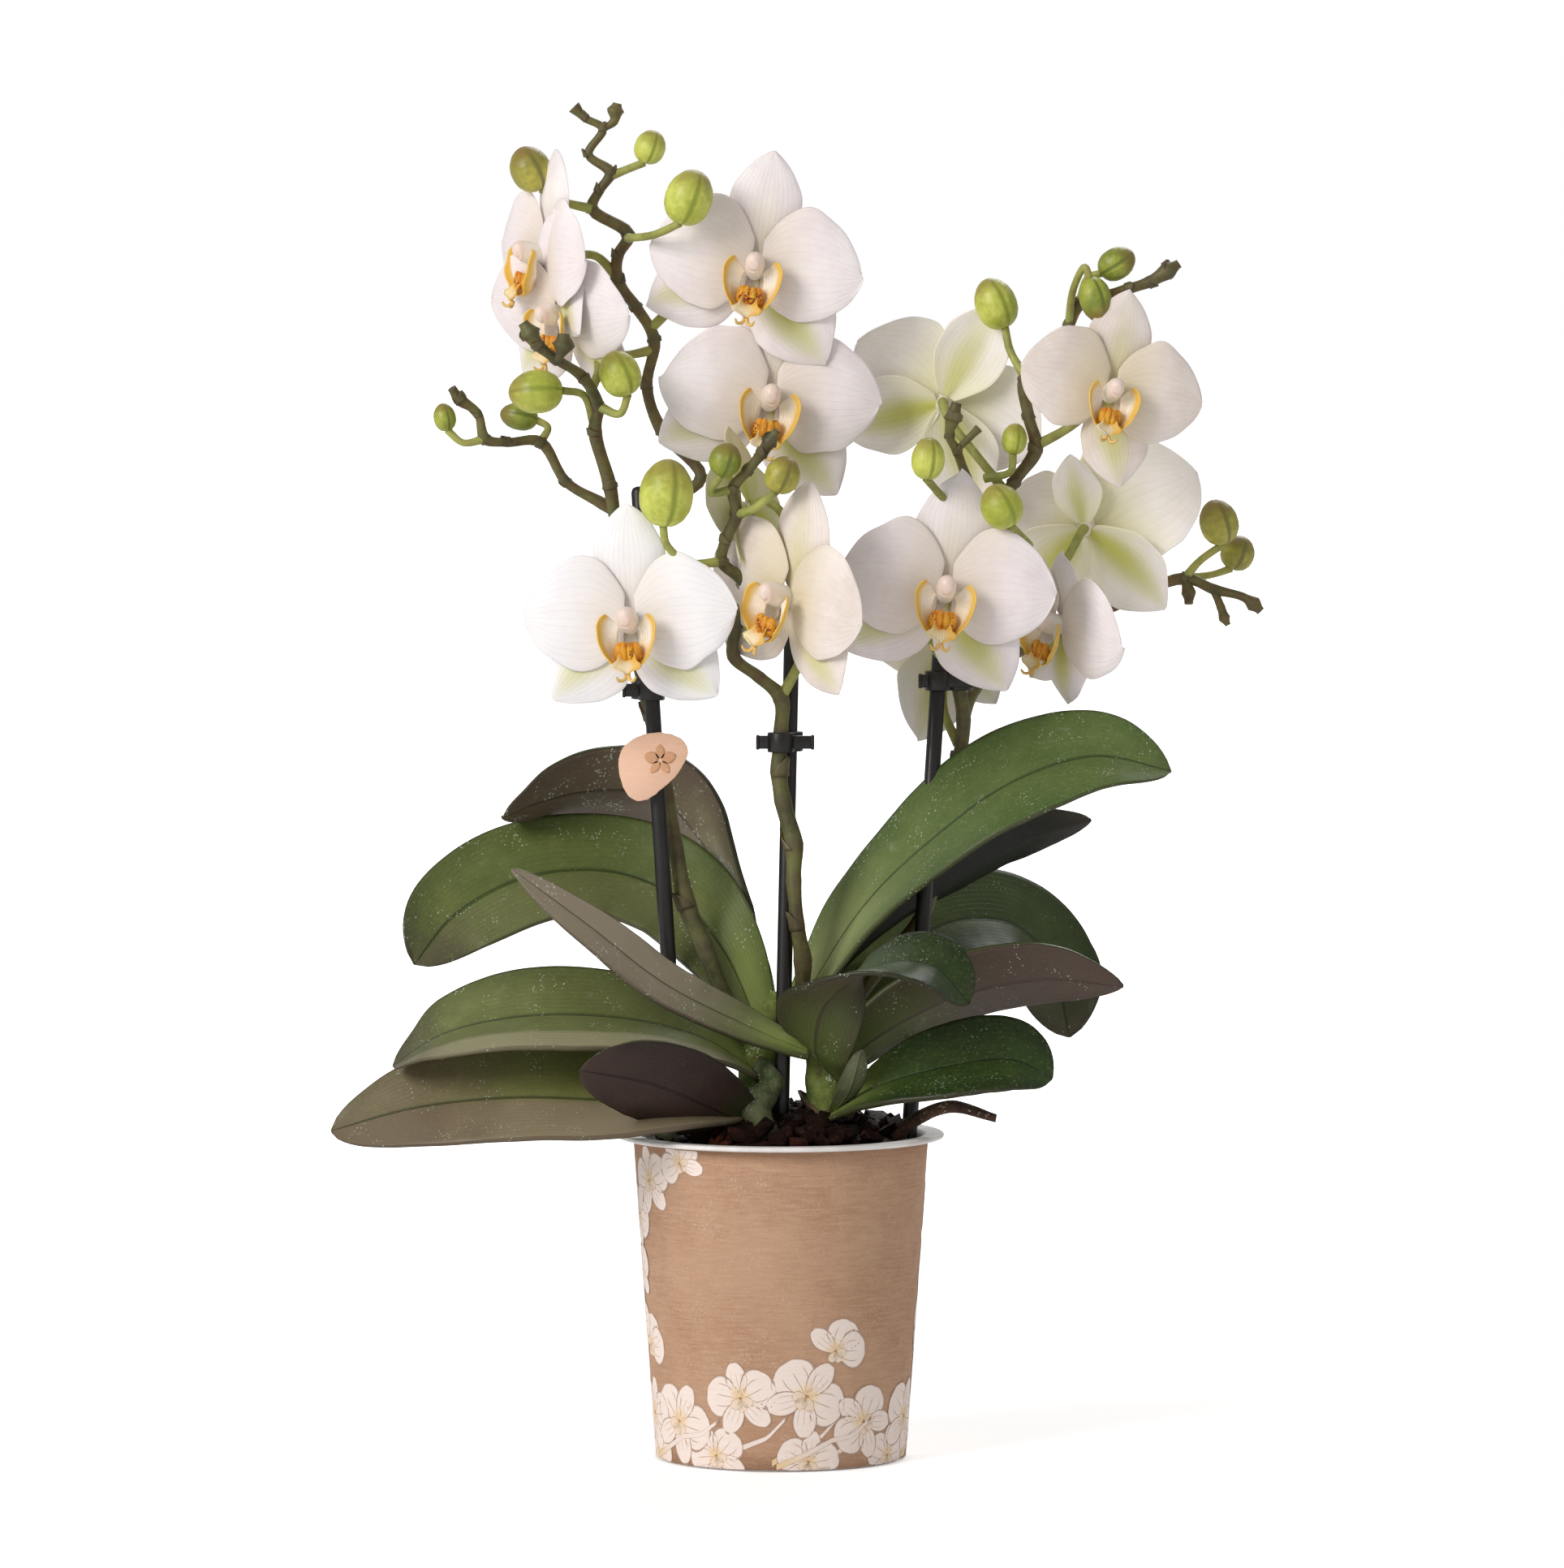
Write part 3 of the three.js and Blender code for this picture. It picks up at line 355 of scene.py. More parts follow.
class Tree:
    """Adds nodes to a shader tree and wires them."""

    def __init__(self, nodes: bpy.types.NodeTree) -> None:
        """Keeps the tree to add to."""
        self.tree = nodes

    def node(self, kind: str, **settings: object) -> bpy.types.Node:
        """Adds a node.

        Args:
            kind: The node's type name, without its ShaderNode prefix.
            **settings: Properties to set on it.

        Returns:
            The new node.
        """
        made = self.tree.nodes.new("ShaderNode" + kind)
        for name, value in settings.items():
            setattr(made, name, value)
        return made

    def feed(self, target: Socket, value: object) -> None:
        """Links a socket to an input, or sets the input to a plain value.

        Args:
            target: The input.
            value: A socket, a number or a colour.
        """
        if isinstance(value, bpy.types.NodeSocket):
            self.tree.links.new(value, target)
        else:
            target.default_value = value

    def place(self) -> Socket:
        """Returns the piece's own coordinates, in metres."""
        return self.node("TexCoord").outputs["Object"]

    def layer(self, name: str) -> Socket:
        """Returns the value of one of the piece's vertex layers."""
        return self.node("Attribute", attribute_name=name).outputs["Fac"]

    def stretched(self, vector: Socket, scale: Point) -> Socket:
        """Scales coordinates, to draw a pattern out one way.

        Args:
            vector: The coordinates.
            scale: Factor on each axis.

        Returns:
            The scaled coordinates.
        """
        mapping = self.node("Mapping")
        self.feed(mapping.inputs["Vector"], vector)
        mapping.inputs["Scale"].default_value = scale
        return mapping.outputs["Vector"]

    def noise(self, scale: object, detail: float = 4.0, rough: float = 0.55, vector: Socket | None = None) -> Socket:
        """Adds a noise pattern.

        Args:
            scale: Cells for each metre, or for each unit of the vector.
            detail: Octaves.
            rough: Strength of the finer octaves.
            vector: Coordinates; the piece's own when left out.

        Returns:
            The pattern, about 0 to 1.
        """
        made = self.node("TexNoise")
        self.feed(made.inputs["Vector"], vector or self.place())
        self.feed(made.inputs["Scale"], scale)
        made.inputs["Detail"].default_value = detail
        made.inputs["Roughness"].default_value = rough
        return made.outputs["Fac"]

    def ramp(self, value: Socket, low: float, high: float) -> Socket:
        """Spreads the values between low and high over 0 to 1, with soft ends.

        Args:
            value: The value to spread.
            low: What becomes 0.
            high: What becomes 1.

        Returns:
            The spread value.
        """
        made = self.node("MapRange", interpolation_type="SMOOTHSTEP")
        self.feed(made.inputs["Value"], value)
        made.inputs["From Min"].default_value = low
        made.inputs["From Max"].default_value = high
        return made.outputs["Result"]

    def math(self, operation: Op, a: object, b: object = 0.0) -> Socket:
        """Adds a math node.

        Args:
            operation: What it does.
            a: The first value or socket.
            b: The second value or socket.

        Returns:
            The result.
        """
        made = self.node("Math", operation=operation.value)
        self.feed(made.inputs[0], a)
        self.feed(made.inputs[1], b)
        return made.outputs[0]

    def times(self, a: object, b: object) -> Socket:
        """Returns the product of two values."""
        return self.math(Op.MULTIPLY, a, b)

    def plus(self, a: object, b: object) -> Socket:
        """Returns the sum of two values."""
        return self.math(Op.ADD, a, b)

    def mix(self, share: object, a: object, b: object) -> Socket:
        """Mixes two colours.

        Args:
            share: How much of the second.
            a: The first colour.
            b: The second colour.

        Returns:
            The mixed colour.
        """
        made = self.node("Mix", data_type="RGBA", clamp_result=True)
        self.feed(made.inputs["Factor"], share)
        self.feed(made.inputs[6], a)
        self.feed(made.inputs[7], b)
        return made.outputs[2]

    def bump(self, height: Socket, depth: float, strength: float = 1.0) -> Socket:
        """Turns a height pattern into a normal.

        Args:
            height: The pattern, 0 to 1.
            depth: How deep it is, in metres.
            strength: Share of the effect.

        Returns:
            The normal.
        """
        made = self.node("Bump")
        made.inputs["Distance"].default_value = depth
        made.inputs["Strength"].default_value = strength
        self.feed(made.inputs["Height"], height)
        return made.outputs["Normal"]

    def dress(self, shader: bpy.types.Node, colour: object, rough: object, normal: Socket) -> None:
        """Feeds a shader its colour, roughness and normal.

        Args:
            shader: The shader.
            colour: Its base colour.
            rough: Its roughness.
            normal: Its normal.
        """
        for name, value in (("Base Color", colour), ("Roughness", rough), ("Normal", normal)):
            self.feed(shader.inputs[name], value)

    def mottle(self, scale: float, first: object, second: object) -> bpy.types.Node:
        """Lets two colours drift into each other over the piece.

        Args:
            scale: Patches for each metre.
            first: The first colour.
            second: The second colour.

        Returns:
            The effect's node, with the outputs Color and Mask.
        """
        return self.group(Mottle().get(), Vector=self.place(), Scale=scale, First=first, Second=second)

    def group(self, made: bpy.types.NodeTree, **values: object) -> bpy.types.Node:
        """Places a shared effect in this tree.

        Args:
            made: The node group.
            **values: A value or socket for each named input.

        Returns:
            The group's node.
        """
        placed = self.node("Group", node_tree=made)
        for name, value in values.items():
            self.feed(placed.inputs[name], value)
        return placed


# ---------------------------------------------------------------- shared effects


@dataclass(frozen=True)
class Effect:
    """A shader node group that several finishes share."""

    name: str

    def start(self, inputs: dict[str, str], outputs: dict[str, str]) -> tuple[Tree, bpy.types.Node, bpy.types.Node]:
        """Makes the empty group.

        Args:
            inputs: Socket kind for each input name.
            outputs: Socket kind for each output name.

        Returns:
            The group's tree, its input node and its output node.
        """
        made = bpy.data.node_groups.new(self.name, "ShaderNodeTree")
        for name, kind in inputs.items():
            made.interface.new_socket(name, in_out="INPUT", socket_type="NodeSocket" + kind)
        for name, kind in outputs.items():
            made.interface.new_socket(name, in_out="OUTPUT", socket_type="NodeSocket" + kind)
        tree = Tree(made)
        return tree, made.nodes.new("NodeGroupInput"), made.nodes.new("NodeGroupOutput")

    def build(self) -> bpy.types.NodeTree:
        """Wires the group and returns it."""
        raise NotImplementedError

    def get(self) -> bpy.types.NodeTree:
        """Returns the group, and makes it the first time."""
        return bpy.data.node_groups.get(self.name) or self.build()


@dataclass(frozen=True)
class Mottle(Effect):
    """Two colours that drift into each other at a broad and a fine scale."""

    name: str = "mottle"

    def build(self) -> bpy.types.NodeTree:
        """Wires the group and returns it."""
        tree, given, made = self.start(
            {"Vector": "Vector", "Scale": "Float", "First": "Color", "Second": "Color"},
            {"Color": "Color", "Mask": "Float"},
        )
        broad = tree.noise(given.outputs["Scale"], 3.0, 0.6, given.outputs["Vector"])
        fine_scale = tree.times(given.outputs["Scale"], 7.0)
        fine = tree.noise(fine_scale, 4.0, 0.6, given.outputs["Vector"])
        both = tree.plus(tree.times(broad, 0.72), tree.times(fine, 0.28))
        mask = tree.ramp(both, 0.36, 0.64)
        colour = tree.mix(mask, given.outputs["First"], given.outputs["Second"])
        tree.feed(made.inputs["Color"], colour)
        tree.feed(made.inputs["Mask"], mask)
        return tree.tree


@dataclass(frozen=True)
class Speckle(Effect):
    """Scattered specks of uneven size, in loose clusters."""

    name: str = "speckle"

    def build(self) -> bpy.types.NodeTree:
        """Wires the group and returns it."""
        tree, given, made = self.start(
            {"Vector": "Vector", "Scale": "Float", "Cover": "Float"}, {"Mask": "Float"}
        )
        cells = tree.node("TexVoronoi")
        tree.feed(cells.inputs["Vector"], given.outputs["Vector"])
        tree.feed(cells.inputs["Scale"], given.outputs["Scale"])
        cluster_scale = tree.times(given.outputs["Scale"], 0.12)
        cluster = tree.noise(cluster_scale, 2.0, 0.6, given.outputs["Vector"])
        reach = tree.times(given.outputs["Cover"], tree.ramp(cluster, 0.42, 0.66))
        gap = tree.math(Op.SUBTRACT, reach, cells.outputs["Distance"])
        tree.feed(made.inputs["Mask"], tree.ramp(gap, 0.0, 0.08))
        return tree.tree


@dataclass(frozen=True)
class Veins(Effect):
    """Fine lines that run the length of a leaf or petal and waver a little."""

    name: str = "veins"

    def build(self) -> bpy.types.NodeTree:
        """Wires the group and returns it."""
        tree, given, made = self.start(
            {"Across": "Float", "Count": "Float", "Waver": "Float"}, {"Mask": "Float"}
        )
        drift = tree.times(tree.noise(60.0, 2.0), given.outputs["Waver"])
        place = tree.plus(tree.times(given.outputs["Across"], given.outputs["Count"]), drift)
        wave = tree.math(Op.ABSOLUTE, tree.math(Op.SINE, tree.times(place, math.pi)))
        tree.feed(made.inputs["Mask"], tree.ramp(wave, 0.22, 0.0))
        return tree.tree


@dataclass(frozen=True)
class Fibres(Effect):
    """Grain drawn out one way, for paper, card and bark."""

    name: str = "fibres"

    def build(self) -> bpy.types.NodeTree:
        """Wires the group and returns it."""
        tree, given, made = self.start({"Vector": "Vector", "Scale": "Float"}, {"Height": "Float"})
        long_scale = tree.times(given.outputs["Scale"], 2.4)
        lines = tree.noise(long_scale, 4.0, 0.7, tree.stretched(given.outputs["Vector"], (0.09, 0.09, 1.0)))
        flecks = tree.noise(tree.times(given.outputs["Scale"], 2.6), 3.0, 0.6, given.outputs["Vector"])
        height = tree.plus(tree.times(lines, 0.65), tree.times(flecks, 0.35))
        tree.feed(made.inputs["Height"], tree.ramp(height, 0.34, 0.68))
        return tree.tree


# ---------------------------------------------------------------- finishes


@dataclass(frozen=True)
class Finish:
    """What a surface is made of. Each kind of surface adds its own tones and patterns."""

    name: str

    def start(self, **constants: float | Tone) -> tuple[bpy.types.Material, Tree, bpy.types.Node]:
        """Starts the material.

        Args:
            **constants: Plain values for the shader's own inputs, with spaces as underscores.

        Returns:
            The material, its tree and its shader.
        """
        material = bpy.data.materials.new(f"finish_{self.name}")
        material.use_nodes = True
        shader = material.node_tree.nodes["Principled BSDF"]
        for name, value in constants.items():
            shader.inputs[name.replace("_", " ")].default_value = value
        return material, Tree(material.node_tree), shader

    def build(self) -> bpy.types.Material:
        """Wires the material and returns it."""
        raise NotImplementedError

    def get(self) -> bpy.types.Material:
        """Returns the material, and makes it the first time."""
        return bpy.data.materials.get(f"finish_{self.name}") or self.build()


@dataclass(frozen=True)
class Moulded(Finish):
    """Moulded plastic: a faint drift in tone, a fine skin and light scuffs."""

    light: Tone = tone("f3f1ef")
    dark: Tone = tone("e2dedb")
    rough: float = 0.42
    grain: float = 0.00003

    def build(self) -> bpy.types.Material:
        """Wires the material and returns it."""
        material, tree, shader = self.start(Specular_IOR_Level=0.5)
        drift = tree.mottle(90.0, self.dark, self.light)
        skin = tree.noise(2600.0, 2.0)
        scuffs = tree.noise(700.0, 3.0, 0.7, tree.stretched(tree.place(), (1.0, 1.0, 0.2)))
        rough = tree.plus(tree.times(tree.ramp(scuffs, 0.45, 0.7), 0.16), self.rough)
        tree.dress(shader, drift.outputs["Color"], rough, tree.bump(skin, self.grain))
        return material


@dataclass(frozen=True)
class Kraft(Finish):
    """Brown kraft paper or card: horizontal fibres, pale flecks and a matt face."""

    light: Tone = tone("caa68a")
    dark: Tone = tone("ab8468")
    fleck: Tone = tone("d0b49c")
    scale: float = 620.0
    relief: float = 0.00005

    def build(self) -> bpy.types.Material:
        """Wires the material and returns it."""
        material, tree, shader = self.start(Specular_IOR_Level=0.3)
        fibres = tree.group(Fibres().get(), Vector=tree.place(), Scale=self.scale).outputs["Height"]
        middle = tree.mix(0.5, self.dark, self.light)
        drift = tree.mottle(34.0, self.dark, middle)
        grained = tree.mix(tree.times(fibres, 0.75), drift.outputs["Color"], self.light)
        specks = tree.group(Speckle().get(), Vector=tree.place(), Scale=900.0, Cover=0.3).outputs["Mask"]
        colour = tree.mix(tree.times(specks, 0.5), grained, self.fleck)
        rough = tree.plus(tree.times(fibres, 0.14), 0.7)
        tree.dress(shader, colour, rough, tree.bump(fibres, self.relief))
        return material


@dataclass(frozen=True)
class PrintedPetal(Finish):
    """Cream ink on the paper: a brown outline and thin brown veins that fade outwards."""

    ink: Tone = tone("f6e9e2")
    shade: Tone = tone("eedacb")
    line: Tone = tone("9a7458")
    veins: float = 2.0

    def build(self) -> bpy.types.Material:
        """Wires the material and returns it."""
        material, tree, shader = self.start(Specular_IOR_Level=0.3)
        along, across = tree.layer("along"), tree.layer("across")
        fibres = tree.group(Fibres().get(), Vector=tree.place(), Scale=620.0).outputs["Height"]
        ink = tree.mix(tree.times(fibres, 0.5), self.ink, self.shade)
        warm = tree.mix(tree.ramp(along, 0.35, 0.0), ink, tone("efd3a6"))
        edge = tree.ramp(tree.math(Op.ABSOLUTE, across), 0.86, 0.93)
        tip = tree.ramp(along, 0.93, 0.97)
        rim = tree.math(Op.MAXIMUM, edge, tip)
        lines = tree.group(Veins().get(), Across=across, Count=self.veins, Waver=0.25).outputs["Mask"]
        faded = tree.times(lines, tree.ramp(along, 0.72, 0.5))
        marks = tree.times(tree.math(Op.MAXIMUM, rim, faded), 0.8)
        tree.dress(
            shader, tree.mix(marks, warm, self.line), tree.plus(tree.times(fibres, 0.15), 0.6),
            tree.bump(fibres, 0.00004)
        )
        return material


@dataclass(frozen=True)
class Bark(Finish):
    """Damp bark: dark red-brown, layered, with paler broken edges."""

    dark: Tone = tone("120806")
    mid: Tone = tone("3a1e14")
    pale: Tone = tone("6e4430")

    def build(self) -> bpy.types.Material:
        """Wires the material and returns it."""
        material, tree, shader = self.start(Specular_IOR_Level=0.15)
        drift = tree.mottle(170.0, self.dark, self.mid)
        layers = tree.group(Fibres().get(), Vector=tree.place(), Scale=900.0).outputs["Height"]
        broken = tree.ramp(tree.noise(420.0, 5.0, 0.7), 0.56, 0.72)
        colour = tree.mix(tree.times(broken, 0.8), drift.outputs["Color"], self.pale)
        tree.dress(
            shader, tree.mix(tree.times(layers, 0.35), colour, self.dark), tree.plus(tree.times(broken, 0.3), 0.5),
            tree.bump(layers, 0.0006)
        )
        return material


@dataclass(frozen=True)
class Perlite(Finish):
    """Crumbly white perlite, dusted with bark."""

    def build(self) -> bpy.types.Material:
        """Wires the material and returns it."""
        material, tree, shader = self.start(Specular_IOR_Level=0.3, Roughness=0.9)
        drift = tree.group(
            Mottle().get(), Vector=tree.place(), Scale=700.0, First=tone("8f8377"), Second=tone("e9e4dc")
        )
        tree.feed(shader.inputs["Base Color"], drift.outputs["Color"])
        tree.feed(shader.inputs["Normal"], tree.bump(tree.noise(1800.0), 0.0003))
        return material


@dataclass(frozen=True)
class Leaf(Finish):
    """A leaf's skin: mottled green with painted shade in broad patches and towards both edges, a dark midrib, fine
    ribs, a tinted tip and half, and mineral spots.
    """

    light: Tone = tone("717e3d")
    dark: Tone = tone("4b5c2c")
    base: Tone = tone("8d9c55")
    base_end: float = 0.34
    tip: Tone = tone("4a3f37")
    tip_start: float = 0.8
    half: Tone = tone("5c5f45")
    half_from: float = 0.0
    half_share: float = 0.0
    spots: float = 0.22
    rib: Tone = tone("24371c")
    gloss: float = 0.34

    def build(self) -> bpy.types.Material:
        """Wires the material and returns it."""
        material, tree, shader = self.start(
            Specular_IOR_Level=0.24, Coat_Weight=0.07, Coat_Roughness=0.3, Subsurface_Weight=0.04,
            Subsurface_Radius=(0.001, 0.002, 0.0005),
        )
        along, across = tree.layer("along"), tree.layer("across")
        soft = tree.mix(0.45, self.dark, self.light)
        skin = tree.mottle(30.0, soft, self.light)
        shaded = tree.mix(
            tree.times(tree.ramp(tree.noise(14.0, 2.0), 0.35, 0.7), 0.7), skin.outputs["Color"], self.dark
        )
        grain = tree.noise(900.0, 3.0, 0.7)
        fresh = tree.mix(tree.ramp(along, self.base_end, 0.05), shaded, self.base)
        half_edge = tree.math(Op.SUBTRACT, tree.times(tree.noise(50.0), 0.12), across)
        half_mask = tree.times(tree.ramp(half_edge, self.half_from + 0.05, self.half_from + 0.2), self.half_share)
        # Painted shade: the skin darkens towards both edges, where the troughed blade turns away from the light.
        painted_edge_shade = tree.times(tree.ramp(tree.math(Op.ABSOLUTE, across), 0.35, 1.0), 0.55)
        halved = tree.mix(half_mask, tree.mix(painted_edge_shade, fresh, self.dark), self.half)
        tip_place = tree.plus(along, tree.times(tree.noise(70.0, 4.0), 0.3))
        tip_mask = tree.times(tree.ramp(tip_place, self.tip_start + 0.1, self.tip_start + 0.38), 0.8)
        tipped = tree.mix(tip_mask, halved, self.tip)
        dusted = tree.mix(tree.times(tree.ramp(grain, 0.5, 0.8), 0.3), tipped, self.base)
        ribs = tree.group(Veins().get(), Across=across, Count=11.0, Waver=0.6).outputs["Mask"]
        ribbed = tree.mix(tree.times(ribs, 0.34), dusted, self.dark)
        midrib = tree.ramp(tree.math(Op.ABSOLUTE, across), 0.045, 0.012)
        lined = tree.mix(tree.times(midrib, 0.62), ribbed, self.rib)
        margin = tree.ramp(tree.math(Op.ABSOLUTE, across), 0.955, 0.995)
        edged = tree.mix(tree.times(margin, 0.55), lined, tone("3a2d28"))
        uneven = tree.stretched(tree.place(), (1.0, 1.4, 0.7))
        spots = tree.group(Speckle().get(), Vector=uneven, Scale=950.0, Cover=self.spots * 1.2).outputs["Mask"]
        smear = tree.times(tree.ramp(tree.noise(150.0, 6.0, 0.75), 0.6, 0.78), self.spots * 1.1)
        colour = tree.mix(tree.math(Op.MAXIMUM, tree.times(spots, 0.75), smear), edged, tone("bcc4b4"))
        relief = tree.math(Op.SUBTRACT, tree.times(skin.outputs["Mask"], 0.25), midrib)
        tree.feed(shader.inputs["Base Color"], colour)
        rough = tree.plus(tree.times(tree.math(Op.MAXIMUM, spots, grain), 0.22), self.gloss - 0.08)
        tree.feed(shader.inputs["Roughness"], rough)
        height = tree.math(Op.SUBTRACT, relief, tree.times(ribs, 0.12))
        tree.feed(shader.inputs["Normal"], tree.bump(height, 0.00035))
        return material


@dataclass(frozen=True)
class Stem(Finish):
    """A flower spike's skin: olive, browner at the knuckles, with faint lengthwise lines."""

    light: Tone = tone("68693a")
    dark: Tone = tone("414225")
    joint: Tone = tone("4d4032")
    stain: float = 0.35

    def build(self) -> bpy.types.Material:
        """Wires the material and returns it."""
        material, tree, shader = self.start(Specular_IOR_Level=0.45, Subsurface_Weight=0.05)
        skin = tree.mottle(75.0, self.dark, self.light)
        blush = tree.times(tree.ramp(tree.noise(48.0, 4.0, 0.6), 0.46, 0.66), self.stain)
        knuckle = tree.times(tree.layer("knuckle"), 0.55)
        stained = tree.mix(tree.math(Op.MAXIMUM, blush, knuckle), skin.outputs["Color"], self.joint)
        lines = tree.noise(900.0, 3.0, 0.6, tree.stretched(tree.place(), (1.0, 1.0, 0.12)))
        colour = tree.mix(tree.times(tree.ramp(lines, 0.4, 0.7), 0.22), stained, self.light)
        tree.dress(shader, colour, tree.plus(tree.times(lines, 0.2), 0.42), tree.bump(lines, 0.00015))
        return material


@dataclass(frozen=True)
class RootSkin(Finish):
    """A root's skin: a silvery coat that is worn through to green, with cracks and rust."""

    coat: Tone = tone("b5b394")
    under: Tone = tone("4f6438")
    rust: Tone = tone("6d4a34")
    worn: float = 0.5

    def build(self) -> bpy.types.Material:
        """Wires the material and returns it."""
        material, tree, shader = self.start(Specular_IOR_Level=0.3, Roughness=0.75)
        skin = tree.mottle(120.0, self.under, self.coat)
        worn = tree.ramp(tree.noise(230.0, 5.0, 0.7), 0.62 - self.worn * 0.2, 0.74)
        rusty = tree.mix(tree.times(worn, 0.85), skin.outputs["Color"], self.rust)
        flecks = tree.group(Speckle().get(), Vector=tree.place(), Scale=1100.0, Cover=0.4).outputs["Mask"]
        tree.feed(shader.inputs["Base Color"], tree.mix(tree.times(flecks, 0.6), rusty, tone("d9d8c4")))
        tree.feed(shader.inputs["Normal"], tree.bump(tree.noise(500.0, 5.0, 0.7), 0.0006))
        return material


@dataclass(frozen=True)
class Petal(Finish):
    """A petal or sepal: white, darker towards its base with painted shade near the bloom's middle (in the greener tints
    also their own flush), faint veins and a green streak where it has one.
    """

    white: Tone = tone("f6f0f0")
    shade: Tone = tone("e6dbd9")
    heart: Tone = tone("e9e0cf")
    streak: Tone = tone("c2c445")
    streak_share: float = 0.0
    streak_width: float = 0.42
    streak_end: float = 0.75
    edge: Tone = tone("f3ead9")

    def build(self) -> bpy.types.Material:
        """Wires the material and returns it."""
        material, tree, shader = self.start(
            Specular_IOR_Level=0.35, Subsurface_Weight=0.18, Subsurface_Radius=(0.003, 0.0025, 0.002),
            Sheen_Weight=0.12, Sheen_Roughness=0.4,
        )
        along, across = tree.layer("along"), tree.layer("across")
        skin = tree.mottle(38.0, self.shade, self.white)
        # Painted shade: the heart tone darkens the petal towards its base, near the bloom's middle; in the young and
        # back tints it is also their own green or cream flush.
        heart = tree.mix(tree.times(tree.ramp(along, 0.5, 0.05), 0.8), skin.outputs["Color"], self.heart)
        wide = tree.math(Op.ABSOLUTE, tree.plus(across, tree.times(tree.noise(90.0), 0.16)))
        band = tree.ramp(wide, self.streak_width + 0.2, 0.04)
        length = tree.ramp(along, self.streak_end, self.streak_end * 0.2)
        streak = tree.times(tree.times(band, length), self.streak_share)
        streaked = tree.mix(streak, heart, self.streak)
        veins = tree.group(Veins().get(), Across=across, Count=7.0, Waver=0.8).outputs["Mask"]
        faint = tree.times(tree.times(veins, tree.ramp(along, 0.95, 0.3)), 0.16)
        colour = tree.mix(faint, streaked, self.edge)
        sparkle = tree.noise(1500.0, 2.0)
        tree.feed(shader.inputs["Base Color"], colour)
        tree.feed(shader.inputs["Roughness"], tree.plus(tree.times(sparkle, 0.25), 0.42))
        height = tree.plus(tree.times(sparkle, 0.35), tree.times(veins, -0.4))
        tree.feed(shader.inputs["Normal"], tree.bump(height, 0.00012))
        return material


@dataclass(frozen=True)
class SideLobe(Finish):
    """The lip's side lobes: white inside, yellow along the rim, with rust dashes near the foot."""

    white: Tone = tone("fbf3e4")
    yellow: Tone = tone("efbf2f")
    dash: Tone = tone("a0481d")

    def build(self) -> bpy.types.Material:
        """Wires the material and returns it."""
        material, tree, shader = self.start(
            Specular_IOR_Level=0.4, Subsurface_Weight=0.2, Subsurface_Radius=(0.003, 0.002, 0.001)
        )
        along, across = tree.layer("along"), tree.layer("across")
        wash = tree.mottle(160.0, self.white, tone("efe0c4"))
        rim = tree.ramp(across, -0.1, 0.75)
        foot = tree.times(tree.ramp(along, 0.62, 0.1), 0.85)
        gold = tree.mix(tree.math(Op.MAXIMUM, tree.times(rim, 0.9), foot), wash.outputs["Color"], self.yellow)
        dashes = tree.group(Veins().get(), Across=across, Count=5.0, Waver=1.2).outputs["Mask"]
        dots = tree.ramp(tree.noise(800.0, 3.0), 0.5, 0.62)
        rust = tree.times(tree.times(dashes, dots), tree.ramp(along, 0.6, 0.15))
        tree.dress(
            shader, tree.mix(rust, gold, self.dash), tree.plus(tree.times(dots, 0.15), 0.4), tree.bump(dashes, 0.0001)
        )
        return material


@dataclass(frozen=True)
class Callus(Finish):
    """The lip's orange heart: waxy, freckled with rust."""

    orange: Tone = tone("dc7e10")
    gold: Tone = tone("f2b02e")
    freckle: Tone = tone("8a3610")
    freckles: float = 0.6

    def build(self) -> bpy.types.Material:
        """Wires the material and returns it."""
        material, tree, shader = self.start(Specular_IOR_Level=0.5, Subsurface_Weight=0.15)
        wax = tree.mottle(260.0, self.orange, self.gold)
        dots = tree.group(Speckle().get(), Vector=tree.place(), Scale=1500.0, Cover=self.freckles).outputs["Mask"]
        tree.dress(
            shader, tree.mix(dots, wax.outputs["Color"], self.freckle), tree.plus(tree.times(dots, 0.2), 0.35),
            tree.bump(wax.outputs["Mask"], 0.0002)
        )
        return material


@dataclass(frozen=True)
class ColumnSkin(Finish):
    """The column: waxy white, flushed with pink at its cap."""

    white: Tone = tone("f4ebe4")
    pink: Tone = tone("f0d2c6")

    def build(self) -> bpy.types.Material:
        """Wires the material and returns it."""
        material, tree, shader = self.start(Specular_IOR_Level=0.5, Subsurface_Weight=0.2)
        wax = tree.mottle(300.0, tone("e9ddcf"), self.white)
        cap = tree.ramp(tree.layer("along"), 0.62, 0.8)
        tree.dress(
            shader, tree.mix(tree.times(cap, 0.8), wax.outputs["Color"], self.pink),
            tree.plus(tree.times(wax.outputs["Mask"], 0.15), 0.34), tree.bump(tree.noise(1400.0), 0.0001)
        )
        return material


